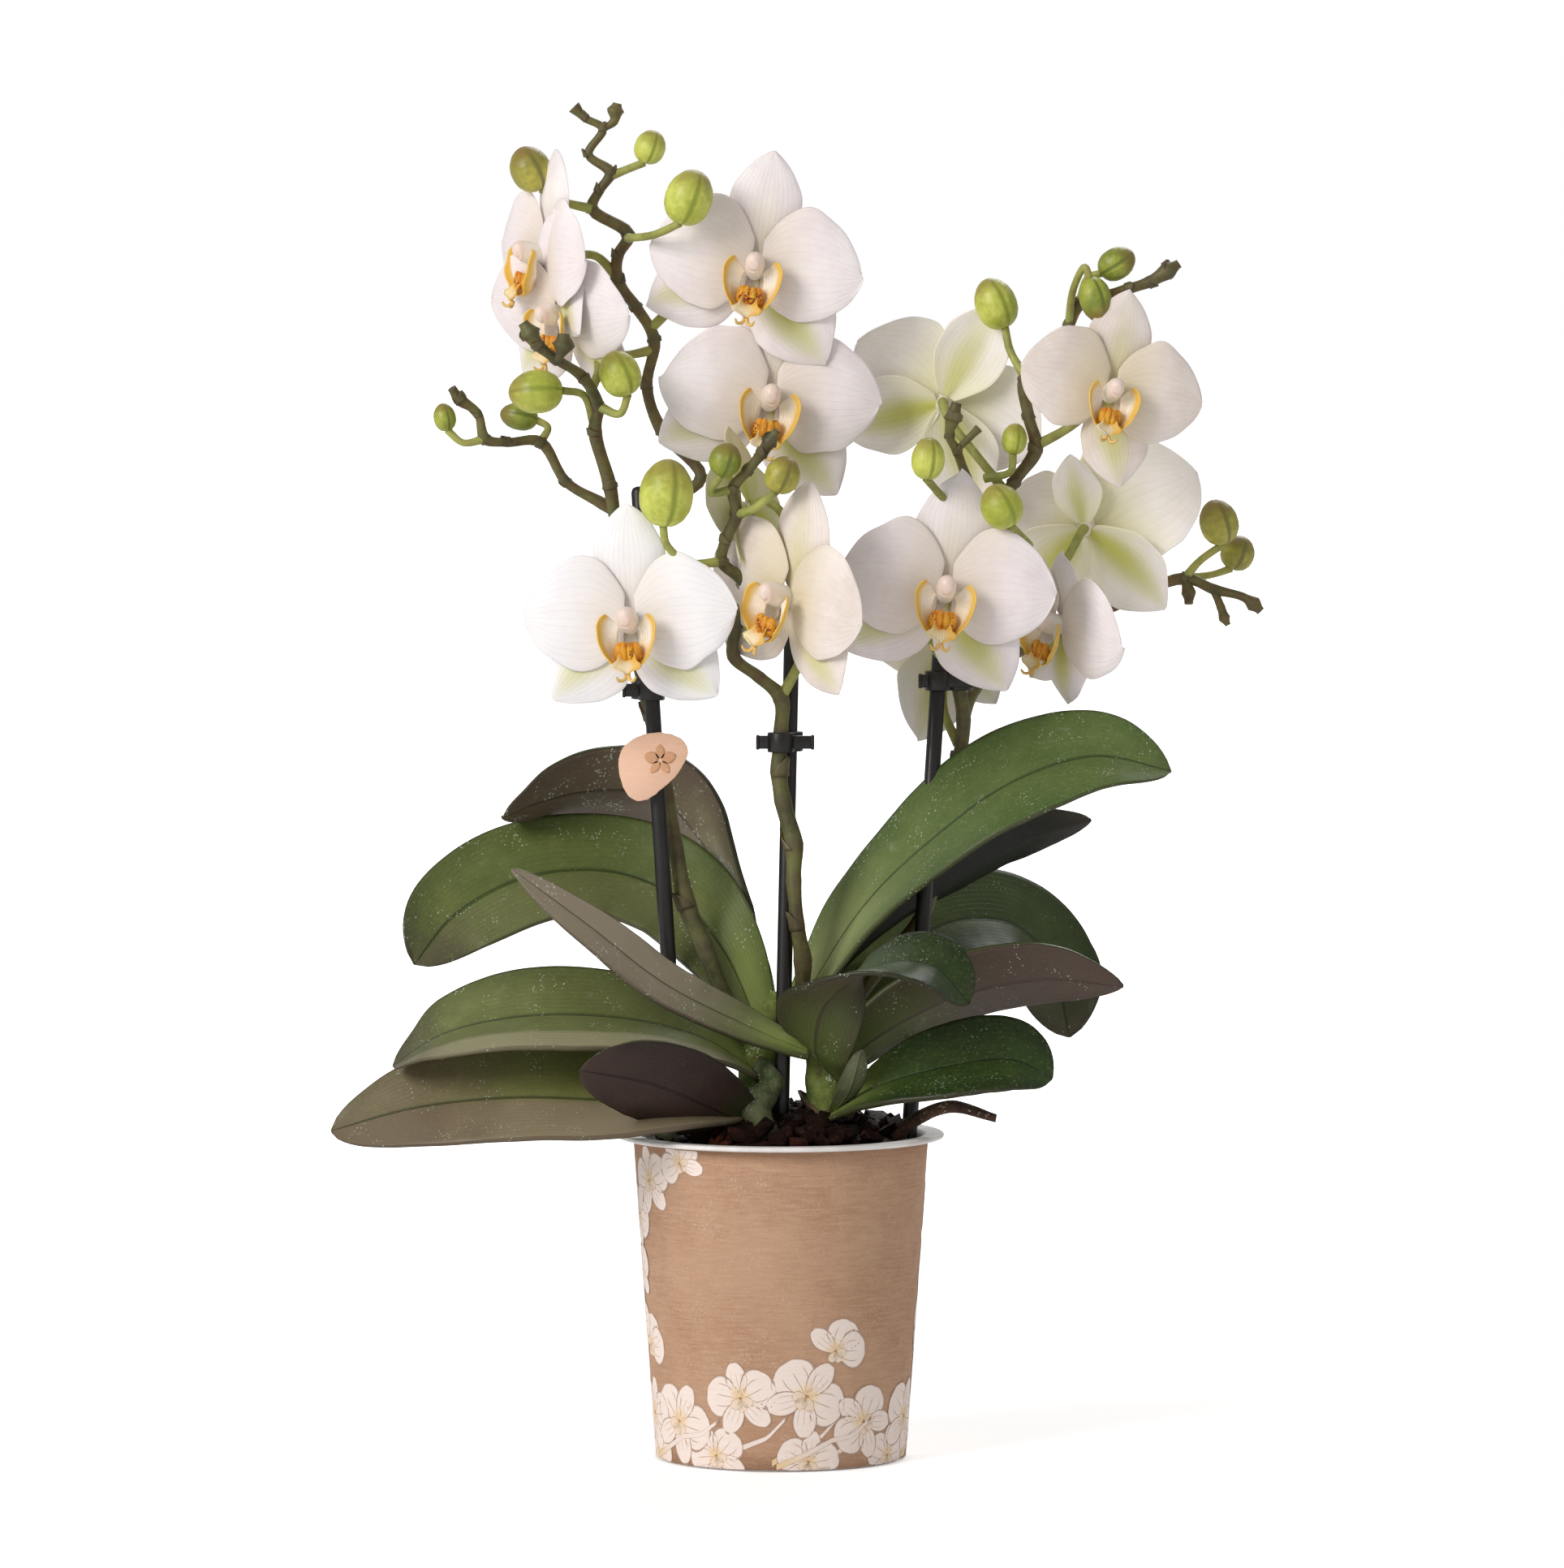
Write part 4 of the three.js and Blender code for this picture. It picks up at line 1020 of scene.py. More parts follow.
@dataclass(frozen=True)
class BudSkin(Finish):
    """A bud's skin: yellow-green and waxy, darker along the seams, browner where the sun caught it."""

    light: Tone = tone("d4da68")
    dark: Tone = tone("a6b03f")
    seam: Tone = tone("87942f")
    blush: Tone = tone("8a7436")
    blush_share: float = 0.35

    def build(self) -> bpy.types.Material:
        """Wires the material and returns it."""
        material, tree, shader = self.start(
            Specular_IOR_Level=0.5, Subsurface_Weight=0.12, Subsurface_Radius=(0.002, 0.003, 0.001)
        )
        along, across = tree.layer("along"), tree.layer("across")
        skin = tree.mottle(90.0, self.dark, self.light)
        seam = tree.ramp(across, 0.2, 0.02)
        seamed = tree.mix(tree.times(seam, 0.85), skin.outputs["Color"], self.seam)
        reach = tree.plus(along, tree.times(tree.noise(130.0, 3.0), 0.5))
        tip = tree.times(tree.ramp(reach, 0.72, 1.25), self.blush_share * 2)
        streaks = tree.group(Veins().get(), Across=across, Count=4.0, Waver=1.0).outputs["Mask"]
        marked = tree.mix(tree.times(streaks, 0.35), tree.mix(tip, seamed, self.blush), self.dark)
        tree.feed(shader.inputs["Base Color"], marked)
        fine = tree.noise(1200.0, 3.0)
        tree.feed(shader.inputs["Roughness"], tree.plus(tree.times(fine, 0.2), 0.32))
        tree.feed(shader.inputs["Normal"], tree.bump(fine, 0.0001))
        return material


@dataclass(frozen=True)
class GlowingFloorPaint(Finish):
    """The floor: a plain pale matt paint with a barely visible drift, which glows to the camera alone and more with
    distance, as painted light that fades it into the white sky.
    """

    def build(self) -> bpy.types.Material:
        """Wires the material and returns it."""
        material, tree, shader = self.start(
            Specular_IOR_Level=0.1, Roughness=0.9, Emission_Color=tone("ffffff")
        )
        drift = tree.group(
            Mottle().get(), Vector=tree.place(), Scale=0.6, First=tone("f4f3f2"), Second=tone("f8f7f6")
        )
        tree.feed(shader.inputs["Base Color"], drift.outputs["Color"])
        # Painted light: the floor glows for camera rays only, brighter further out, so its far part reads as white.
        seen = tree.node("LightPath").outputs["Is Camera Ray"]
        length = tree.node("VectorMath", operation="LENGTH")
        tree.feed(length.inputs[0], tree.place())
        glow = tree.plus(tree.times(tree.ramp(length.outputs["Value"], 0.2, 1.2), 0.8), 0.4)
        tree.feed(shader.inputs["Emission Strength"], tree.times(seen, glow))
        return material


# ---------------------------------------------------------------- pot


@dataclass(frozen=True)
class PotSizes:
    """The pot's sizes, in metres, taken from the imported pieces."""

    height: float
    rim: float
    sleeve_low: float
    sleeve_high: float
    base_radius: float
    top_radius: float

    @classmethod
    def from_frame(cls) -> "PotSizes":
        """Reads the pot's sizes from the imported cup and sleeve."""
        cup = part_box("pot_cup")
        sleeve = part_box("paper_sleeve")
        slope = (34.5 * MM, 40.75 * MM)
        return cls(cup[1][2], cup[1][0], sleeve[0][2], sleeve[1][2], slope[0], slope[1])

    def sleeve(self, height: float) -> float:
        """Returns the sleeve's outer radius at a height."""
        return lerp(self.base_radius, self.top_radius, height / self.height)


def spun(profile: Sequence[tuple[float, float]], steps: int, turn: float = math.tau) -> bmesh.types.BMesh:
    """Spins a profile round the upright axis.

    Args:
        profile: Radius and height of each point, in metres.
        steps: Faces round the turn.
        turn: How far it goes round.

    Returns:
        The mesh.
    """
    bm = new_mesh()
    verts = [bm.verts.new((0.0, radius, height)) for radius, height in profile]
    edges = [bm.edges.new(pair) for pair in zip(verts, verts[1:])]
    bmesh.ops.spin(
        bm,
        geom=verts + edges,
        cent=(0, 0, 0),
        axis=(0, 0, 1),
        angle=turn,
        steps=steps,
        use_merge=turn >= math.tau,
    )
    bmesh.ops.remove_doubles(bm, verts=bm.verts, dist=WELD_GAP)
    return bm


def rounded(corners: Sequence[tuple[float, float]], radius: float, steps: int = 3) -> list[tuple[float, float]]:
    """Rounds the inner corners of an open profile.

    Args:
        corners: The profile's corners.
        radius: How far each corner is cut back.
        steps: Points along each rounding.

    Returns:
        The rounded profile.
    """
    found = [corners[0]]
    for before, corner, after in zip(corners, corners[1:], corners[2:]):
        middle = Vector(corner)
        back = (Vector(before) - middle)
        on = (Vector(after) - middle)
        start = middle + back.normalized() * min(radius, back.length * 0.45)
        end = middle + on.normalized() * min(radius, on.length * 0.45)
        for i in range(steps + 1):
            share = i / steps
            point = start.lerp(middle, share).lerp(middle.lerp(end, share), share)
            found.append((point.x, point.y))
    return [*found, corners[-1]]


@dataclass
class Pot:
    """The plastic pot with its wide flange and dished underside, and the paper sleeve round it."""

    sizes: PotSizes
    wall: float = 1.0 * MM
    flange: float = 1.5 * MM
    floor: float = 1.4 * MM
    paper: float = 0.5 * MM
    steps: int = 96
    plastic: Finish = field(default_factory=lambda: Moulded("pot_plastic"))
    kraft: Finish = field(default_factory=lambda: Kraft("sleeve_kraft"))

    def build(self) -> None:
        """Builds the pot and its sleeve."""
        self.build_cup()
        self.build_sleeve()

    def build_cup(self) -> None:
        """Spins the cup with a rounded flange, a step inside the rim and an underside that stands on its edge."""
        s = self.sizes
        outer_low = s.base_radius - 0.9 * MM
        outer_high = s.top_radius - 0.9 * MM
        top = s.height
        under = top - self.flange
        profile = rounded(
            [
                (0.0, 1.0 * MM),
                (outer_low * 0.78, 1.0 * MM),
                (outer_low * 0.82, 0.0),
                (outer_low, 0.0),
                (outer_high - 0.0002, under),
                (s.rim - 0.5 * MM, under),
                (s.rim, under + 0.4 * MM),
                (s.rim, top - 0.35 * MM),
                (s.rim - 0.6 * MM, top),
                (outer_high - 0.2 * MM, top - 0.25 * MM),
                (outer_high - self.wall, top - 1.2 * MM),
                (outer_high - self.wall - 0.45 * MM, top - 9 * MM),
                (outer_high - self.wall - 1.0 * MM, top - 9.6 * MM),
                (outer_low - self.wall, self.floor + 1.0 * MM),
                (0.0, self.floor + 1.0 * MM),
            ],
            0.5 * MM,
        )
        cup = spun(profile, self.steps)
        Piece("pot_body", ("pot_cup",), "white_plastic", (self.plastic.get(),)).make(cup)

    def build_sleeve(self) -> None:
        """Spins the sleeve's sheet, and laps a glued seam over it at the back."""
        s = self.sizes
        low, high = s.sleeve_low, s.sleeve_high
        rows = 14
        heights = [lerp(low, high, i / rows) for i in range(rows + 1)]
        sheet = spun([(s.sleeve(z) - self.paper / 2, z) for z in heights], self.steps)
        for vert in sheet.verts:
            out = Vector((vert.co.x, vert.co.y, 0)).normalized()
            vert.co += out * (noise.noise(vert.co * 30) * 0.00012)
        bmesh.ops.recalc_face_normals(sheet, faces=sheet.faces)
        sleeve = Piece(
            "sleeve_paper", ("paper_sleeve",), "sleeve_paper", (self.kraft.get(),), thickness=self.paper, outward=False
        )
        sleeve.make(sheet)
        lap = spun([(s.sleeve(z) + 0.18 * MM, z) for z in heights], 6, math.radians(18))
        bmesh.ops.rotate(lap, verts=lap.verts, cent=(0, 0, 0), matrix=Matrix.Rotation(math.radians(-9), 3, "Z"))
        Piece(
            "sleeve_lap", ("paper_sleeve",), "sleeve_paper", (self.kraft.get(),), thickness=0.35 * MM
        ).make(lap)


@dataclass(frozen=True)
class Sprig:
    """One printed flower: its place round the sleeve and up it, its size, turn and how many petals show."""

    angle: float
    height: float
    size: float
    turn: float
    petals: int = 5


@dataclass
class SleevePrint:
    """A border of line-drawn flowers, buds and twigs, printed round the sleeve in cream ink."""

    sizes: PotSizes
    lift: float = 0.05 * MM
    ink: Finish = field(default_factory=lambda: PrintedPetal("print_petal"))
    heart: Finish = field(default_factory=lambda: PrintedPetal("print_heart", ink=tone("f0dcc6"), veins=5.0))
    seed: int = 4

    def build(self) -> None:
        """Lays twigs first, then flowers from the back of the border to its front."""
        draw = random.Random(self.seed)
        bm = new_mesh()
        layer = 0
        for start in range(0, 360, 24):
            points = [(start - 4, 2.5), (start + 6, 6.5), (start + 18, 9.5), (start + 27, 15.5)]
            self.twig(bm, points, layer)
        for sprig in self.border(draw):
            layer += 1
            self.flower(bm, sprig, layer)
        for start in range(10, 370, 72):
            self.twig(
                bm, [(start - 12, 1.5), (start, 4.5), (start + 13, 8.5), (start + 24, 9.5), (start + 34, 14)], layer + 2
            )
        Piece(
            "sleeve_print", ("paper_sleeve",), "sleeve_paper", (self.ink.get(), self.heart.get()), outward=False
        ).make(bm)

    def border(self, draw: random.Random) -> list[Sprig]:
        """Plans the flowers of the border and the trailing corner group.

        Args:
            draw: The source of the small differences between flowers.

        Returns:
            The flowers, from back to front.
        """
        found: list[Sprig] = []
        for angle in range(14, 374, 45):
            found.append(Sprig(angle + draw.uniform(-3, 3), 3.4 + draw.uniform(-1, 1), 9.2, draw.uniform(-40, 40)))
        for angle in range(-20, 340, 30):
            tall = 16.5 + 5.5 * math.sin(math.radians(angle * 3 + 100))
            found.append(Sprig(angle + draw.uniform(-3, 3), tall, 11.4 + draw.uniform(-1, 1.4), draw.uniform(-60, 60)))
        for angle, height, petals in ((24, 33, 3), (92, 30, 3), (146, 32, 4), (214, 31, 3), (285, 32, 3)):
            found.append(Sprig(angle, height, 9.6, 24, petals))
        for angle in (-64, 116):
            found += [
                Sprig(angle, 78, 10.4, 12),
                Sprig(angle - 17, 68, 9.8, -30),
                Sprig(angle + 21, 84, 8.2, 50, 4),
                Sprig(angle - 20, 52, 9.2, 20),
                Sprig(angle - 24, 38, 8.6, -10),
            ]
        return found

    def wrap(self, angle: float, height: float, x: float, y: float, layer: float) -> Vector:
        """Places a point of the drawing on the sleeve.

        Args:
            angle: The flower's place round the sleeve, in degrees from the front.
            height: The flower's height, in millimetres.
            x: Rightwards in the drawing, in millimetres.
            y: Upwards in the drawing, in millimetres.
            layer: How many drawings lie under this one.

        Returns:
            The place.
        """
        z = min(max((height + y) * MM, self.sizes.sleeve_low), self.sizes.sleeve_high - 0.4 * MM)
        radius = self.sizes.sleeve(z)
        around = math.radians(angle) + x * MM / radius
        out = radius + self.lift + layer * 0.0022 * MM
        return Vector((math.sin(around) * out, -math.cos(around) * out, z))

    def flower(self, bm: bmesh.types.BMesh, sprig: Sprig, layer: int) -> None:
        """Adds one flower's petals and its heart.

        Args:
            bm: The print's mesh.
            sprig: The flower.
            layer: How many flowers lie under this one.
        """
        spread = {5: (90, 18, 162, -54, -126), 4: (80, 10, 150, -60), 3: (115, 40, -20)}[sprig.petals]
        for i, angle in enumerate(spread):
            broad = 0.58 if i in (1, 2) else 0.3
            self.petal(bm, sprig, angle + sprig.turn, sprig.size, broad, layer + i * 0.15, 0)
        for angle in (-90, -35, -145):
            self.petal(bm, sprig, angle + sprig.turn, sprig.size * 0.34, 0.42, layer + 0.85, 1)

    def petal(
        self, bm: bmesh.types.BMesh, sprig: Sprig, angle: float, reach: float, broad: float, layer: float, ink: int
    ) -> None:
        """Adds one petal as a small sheet on the sleeve.

        Args:
            bm: The print's mesh.
            sprig: The flower that it belongs to.
            angle: The way it points, in degrees from the right.
            reach: Its length, in millimetres.
            broad: Its half width as a share of its length.
            layer: How many drawings lie under it.
            ink: Its material's place in the list.
        """
        turn = math.radians(angle)

        def surface(side: float, share: float) -> Vector:
            """Gives a point of the petal."""
            far = reach * (0.06 + 0.94 * share)
            half = reach * broad * max(0.03, math.sin(math.pi * min(1.0, 0.08 + 0.92 * share) ** 1.25)) ** 0.62
            x = math.cos(turn) * far - math.sin(turn) * side * half
            y = math.sin(turn) * far + math.cos(turn) * side * half
            return self.wrap(sprig.angle, sprig.height, x, y, layer)

        before = len(bm.faces)
        blade(bm, 6, 9, surface)
        bm.faces.ensure_lookup_table()
        for face in bm.faces[before:]:
            face.material_index = ink
            if face.normal.dot(face.calc_center_median() * Vector((1, 1, 0))) < 0:
                face.normal_flip()

    def twig(self, bm: bmesh.types.BMesh, points: Sequence[tuple[float, float]], layer: int) -> None:
        """Adds a printed twig as a thin band through points of angle and height.

        Args:
            bm: The print's mesh.
            points: Angle in degrees and height in millimetres.
            layer: How many drawings lie under it.
        """

        def surface(side: float, share: float) -> Vector:
            """Gives a point of the twig."""
            place = min(share * (len(points) - 1), len(points) - 1.001)
            low = int(place)
            (a0, h0), (a1, h1) = points[low], points[low + 1]
            part = place - low
            return self.wrap(lerp(a0, a1, part), lerp(h0, h1, part), 0, side * (0.9 - 0.35 * share), layer)

        blade(bm, 2, 14, surface)


# ---------------------------------------------------------------- bark mix


@dataclass
class BarkMix:
    """The bark mix: a mounded bed with loose chips, moss shreds and a few crumbs of perlite on top."""

    sizes: PotSizes
    mound: float = 6.0 * MM
    chips: int = 210
    crumbs: int = 26
    seed: int = 11
    bark: Finish = field(default_factory=lambda: Bark("bark"))
    red_bark: Finish = field(
        default_factory=lambda: Bark("bark_red", dark=tone("200e09"), mid=tone("5c2b1a"), pale=tone("8f5a3e"))
    )
    perlite: Finish = field(default_factory=lambda: Perlite("perlite"))

    @property
    def edge(self) -> float:
        """The bed's radius at the top."""
        return self.sizes.sleeve(self.sizes.height - 3 * MM) - 2.5 * MM

    def surface(self, x: float, y: float) -> float:
        """Returns the bed's height under a place."""
        share = min(1.0, math.hypot(x, y) / self.edge)
        return self.sizes.height - 2.4 * MM + self.mound * (1 - share * share)

    def build(self) -> None:
        """Builds the bed, the chips and the perlite."""
        self.build_bed()
        self.build_chips("bark_chips", self.bark, self.chips, 4.2, 9.4, self.seed)
        self.build_chips("bark_chips_red", self.red_bark, self.chips // 2, 3.0, 7.2, self.seed + 1)
        self.build_chips("perlite_crumbs", self.perlite, self.crumbs, 0.9, 1.9, self.seed + 2)

    def build_bed(self) -> None:
        """Spins the bed and roughens its top."""
        low = 3.4 * MM
        foot = self.sizes.sleeve(low) - 2.6 * MM
        rows = [(self.edge * i / 9, self.surface(self.edge * i / 9, 0)) for i in range(9, -1, -1)]
        bed = spun([(0.0, low), (foot, low), *rows], 48)
        for vert in bed.verts:
            if vert.co.z > self.sizes.height - 6 * MM:
                vert.co.z += (noise.noise(vert.co * 260) - 0.2) * 0.0016
        Piece("bark_bed", ("potting_mix",), "bark_mix", (self.bark.get(),)).make(bed)

    def build_chips(self, name: str, finish: Finish, count: int, small: float, large: float, seed: int) -> None:
        """Scatters angular chips over the bed.

        Args:
            name: What the piece is called.
            finish: The chips' finish.
            count: How many there are.
            small: The least length, in millimetres.
            large: The greatest length, in millimetres.
            seed: Makes the scatter the same each time.
        """
        draw = random.Random(seed)
        bm = new_mesh()
        for i in range(count):
            reach = draw.uniform(small, large) * MM
            out = (self.edge - reach * 0.62) * math.sqrt(draw.random())
            turn = draw.uniform(0, math.tau)
            x, y = math.cos(turn) * out, math.sin(turn) * out
            before = len(bm.verts)
            cube = bmesh.ops.create_cube(bm, size=1.0)["verts"]
            edges = list({edge for vert in cube for edge in vert.link_edges})
            bmesh.ops.subdivide_edges(bm, edges=edges, cuts=1, use_grid_fill=True)
            bm.verts.ensure_lookup_table()
            verts = bm.verts[before:]
            for vert in verts:
                vert.co *= 0.86 + 0.34 * noise.noise(vert.co * 1.7 + Vector((i * 3.1, 0, 0)))
            shape = Matrix.Diagonal((reach, reach * draw.uniform(0.42, 0.72), reach * draw.uniform(0.24, 0.5), 1.0))
            tip = Matrix.Rotation(draw.uniform(-0.9, 0.9), 4, "X") @ Matrix.Rotation(draw.uniform(-0.8, 0.8), 4, "Y")
            spin = Matrix.Rotation(draw.uniform(0, math.tau), 4, "Z")
            seat = Matrix.Translation((x, y, self.surface(x, y) + reach * draw.uniform(0.06, 0.26)))
            bmesh.ops.transform(bm, matrix=seat @ spin @ tip @ shape, verts=verts)
        Piece(name, ("potting_mix",), "bark_mix", (finish.get(),)).make(bm)


# ---------------------------------------------------------------- stakes, clips and tag


@dataclass(frozen=True)
class Post:
    """A stake's line: where it leaves the mix and where it ends, in millimetres."""

    foot: Point
    head: Point

    def at(self, height: float) -> Vector:
        """Returns the stake's middle at a height in millimetres, in metres."""
        share = (height - self.foot[2]) / (self.head[2] - self.foot[2])
        return Vector(self.foot).lerp(Vector(self.head), share) * MM


POSTS = {
    "left": Post((-28, -4, 90), (-39, -4, 268)),
    "centre": Post((0, -9, 90), (3, -3, 228)),
    "right": Post((35.5, 3, 90), (44, 10, 223)),
}


@dataclass
class Stakes:
    """Three black stakes: ribbed down one side from the mould, with rounded tops and pointed feet."""

    radius: float = 2.15
    depth: float = 44.0
    plastic: Finish = field(
        default_factory=lambda: Moulded("stake_plastic", light=tone("1c1918"), dark=tone("0e0c0b"), rough=0.36)
    )

    def build(self) -> None:
        """Builds each stake."""
        for name, post in POSTS.items():
            top = Vector(post.head)
            low = post.at(90 - self.depth) / MM
            axis = (top - low).normalized()
            reach = (top - low).length
            rows = (
                (0, 0.2), (3.5, 0.9), (6, 1.0), (reach * 0.5, 1.0), (reach - 1.6, 1.0), (reach - 0.5, 0.8), (reach, 0.3)
            )
            route = [(*(low + axis * far), self.radius * share) for far, share in rows]
            bm = new_mesh()
            sweep(bm, straight(route), 20, lambda turn: 1.0 - 0.07 * max(0.0, math.cos(turn * math.tau * 2)) ** 8)
            Piece(f"stake_rod_{name}", (f"stake_{name}",), "black_plastic", (self.plastic.get(),)).make(bm)


def straight(route: Sequence[Stop]) -> list[Station]:
    """Makes one station at each stop of a straight or gently bent route.

    Args:
        route: Stops of x, y, z and radius, in millimetres.

    Returns:
        The stations, in metres.
    """
    points = [Vector(stop[:3]) * MM for stop in route]
    found: list[Station] = []
    for i, point in enumerate(points):
        ahead = points[min(i + 1, len(points) - 1)]
        behind = points[max(i - 1, 0)]
        found.append(Station(point, (ahead - behind).normalized(), route[i][3] * MM, i / (len(points) - 1)))
    return found


@dataclass(frozen=True)
class ClipPlace:
    """Where a clip sits: its height, the stem's place there and the length of its bar, in millimetres."""

    height: float
    stem: tuple[float, float]
    bar: float


@dataclass
class Clips:
    """Black snap clips: a loop round the stake, a loop round the stem and a ribbed finger bar."""

    height: float = 5.4
    wall: float = 1.3
    hole: float = 2.4
    places: dict[str, ClipPlace] = field(
        default_factory=lambda: {
            "left": ClipPlace(212, (-37.5, 2.6), 14),
            "centre": ClipPlace(198, (0, -9.4), 16),
            "right": ClipPlace(214, (49.4, 12), 17),
        }
    )
    plastic: Finish = field(
        default_factory=lambda: Moulded("clip_plastic", light=tone("1b1817"), dark=tone("0d0b0b"), rough=0.34)
    )

    def build(self) -> None:
        """Builds each clip from two loops and a bar."""
        for name, place in self.places.items():
            post = POSTS[name].at(place.height)
            stem_at = Vector((*place.stem, place.height)) * MM
            bm = new_mesh()
            for centre in (post, stem_at):
                self.loop(bm, centre)
            self.bar(bm, post.lerp(stem_at, 0.5), place.bar)
            Piece(
                f"snap_clip_{name}", (f"clip_{name}",), "black_plastic", (self.plastic.get(),), bevel=0.25 * MM
            ).make(bm)

    def loop(self, bm: bmesh.types.BMesh, centre: Vector) -> None:
        """Adds one loop by spinning its section round the stake's line.

        Args:
            bm: The clip's mesh.
            centre: The loop's middle.
        """
        half = self.height / 2 * MM
        inner, outer = self.hole * MM, (self.hole + self.wall) * MM
        corners = [(inner, -half), (outer, -half), (outer, half), (inner, half)]
        verts = [bm.verts.new(centre + Vector((0, radius, z))) for radius, z in corners]
        edges = [bm.edges.new(pair) for pair in zip(verts, [*verts[1:], verts[0]])]
        bmesh.ops.spin(bm, geom=verts + edges, cent=centre, axis=(0, 0, 1), angle=math.tau, steps=28, use_merge=True)

    def bar(self, bm: bmesh.types.BMesh, centre: Vector, length: float) -> None:
        """Adds the finger bar with a raised end at each side.

        Args:
            bm: The clip's mesh.
            centre: The bar's middle.
            length: Its length, in millimetres.
        """
        for x, long, deep, tall in ((0, length, 2.4, 0.66), (-0.47, 0.9, 3.0, 0.74), (0.47, 0.9, 3.0, 0.74)):
            verts = bmesh.ops.create_cube(bm, size=1.0)["verts"]
            size = Matrix.Diagonal((long * MM, deep * MM, self.height * tall * MM, 1.0))
            front = Vector((x * length * MM, -2.4 * MM, 0))
            bmesh.ops.transform(bm, matrix=Matrix.Translation(centre + front) @ size, verts=verts)


EGG = tuple(
    (angle / 360, reach)
    for angle, reach in (
        (0, 8.0), (10, 9.0), (20, 10.1), (30, 10.6), (42, 10.6), (56, 10.0), (74, 9.3), (92, 8.9), (112, 8.9),
        (132, 9.2),
        (150, 9.7), (168, 9.7), (186, 9.6), (204, 9.8), (220, 10.4), (232, 10.9), (245, 10.8), (257, 9.8), (270, 8.3),
        (285, 7.0), (300, 6.5), (318, 6.4), (335, 6.8), (348, 7.3), (360, 8.0),
    )
)
"""The tag's outline: its radius in millimetres at shares of a turn."""


@dataclass
class PlantTag:
    """An egg-shaped card on the left stake, with a plain embossed flower, and the loop that holds it."""

    height: float = 192.0
    width: float = 19.0
    thick: float = 1.0
    card: Finish = field(
        default_factory=lambda: Kraft(
            "tag_card", light=tone("f2cbb2"), dark=tone("e8bb9e"), fleck=tone("f8dcc8"), scale=420.0
        )
    )
    motif: Finish = field(
        default_factory=lambda: Kraft(
            "tag_motif", light=tone("dcaa86"), dark=tone("cc9974"), fleck=tone("e6bc9a"), scale=420.0
        )
    )
    plastic: Finish = field(
        default_factory=lambda: Moulded("tag_loop_plastic", light=tone("1b1817"), dark=tone("0d0b0b"), rough=0.34)
    )

    def outline(self, turn: float) -> float:
        """Returns the card's radius, in millimetres, at an angle from the right."""
        egg = table(EGG, math.degrees(turn) % 360 / 360)
        return egg * self.width / 19.0

    def build(self) -> None:
        """Builds the card, its embossed flower and its loop."""
        post = POSTS["left"].at(self.height)
        front = post + Vector((-0.6, -3.9, -0.4)) * MM - Vector((0, self.thick * MM, 0))
        bm = new_mesh()
        ring = bmesh.ops.create_circle(bm, cap_ends=True, segments=72, radius=1.0)["verts"]
        for vert in ring:
            turn = math.atan2(vert.co.y, vert.co.x)
            reach = self.outline(turn) * MM
            vert.co = front + Vector((math.cos(turn) * reach, 0, math.sin(turn) * reach))
        made = bmesh.ops.extrude_face_region(bm, geom=list(bm.faces))["geom"]
        moved = [item for item in made if isinstance(item, bmesh.types.BMVert)]
        bmesh.ops.translate(bm, vec=(0, self.thick * MM, 0), verts=moved)
        Piece("tag_card_egg", ("plant_tag",), "tag_card", (self.card.get(),), bevel=0.2 * MM).make(bm)
        self.build_motif(front)
        self.build_loop(post)

    def build_motif(self, front: Vector) -> None:
        """Presses a plain five-petalled flower into the card's face.

        Args:
            front: The middle of the card's front face.
        """
        bm = new_mesh()
        heart = front + Vector((1.8 * MM, -0.06 * MM, 1.4 * MM))
        for angle, reach, broad in (
            (90, 4.4, 0.3), (18, 4.6, 0.36), (162, 4.6, 0.36), (-54, 4.2, 0.28), (-126, 4.2, 0.28)
        ):
            turn = math.radians(angle)

            def surface(side: float, share: float) -> Vector:
                """Gives a point of the pressed petal."""
                far = reach * (0.12 + 0.88 * share)
                half = reach * broad * max(0.05, math.sin(math.pi * (0.1 + 0.88 * share))) ** 0.7
                x = math.cos(turn) * far - math.sin(turn) * side * half
                z = math.sin(turn) * far + math.cos(turn) * side * half
                return heart + Vector((x, 0, z)) * MM

            blade(bm, 4, 6, surface)
        Piece("tag_flower", ("plant_tag",), "tag_card", (self.motif.get(),), thickness=0.12 * MM).make(bm)

    def build_loop(self, post: Vector) -> None:
        """Spins the loop that clips the card to the stake.

        Args:
            post: The stake's middle at the card.
        """
        bm = new_mesh()
        corners = [(2.4, -3.0), (3.5, -3.0), (3.8, 0.0), (3.5, 3.0), (2.4, 3.0)]
        verts = [bm.verts.new(post + Vector((0, radius, z)) * MM) for radius, z in corners]
        edges = [bm.edges.new(pair) for pair in zip(verts, [*verts[1:], verts[0]])]
        bmesh.ops.spin(bm, geom=verts + edges, cent=post, axis=(0, 0, 1), angle=math.tau, steps=24, use_merge=True)
        Piece("tag_loop", ("plant_tag",), "black_plastic", (self.plastic.get(),)).make(bm)


# ---------------------------------------------------------------- crowns and roots


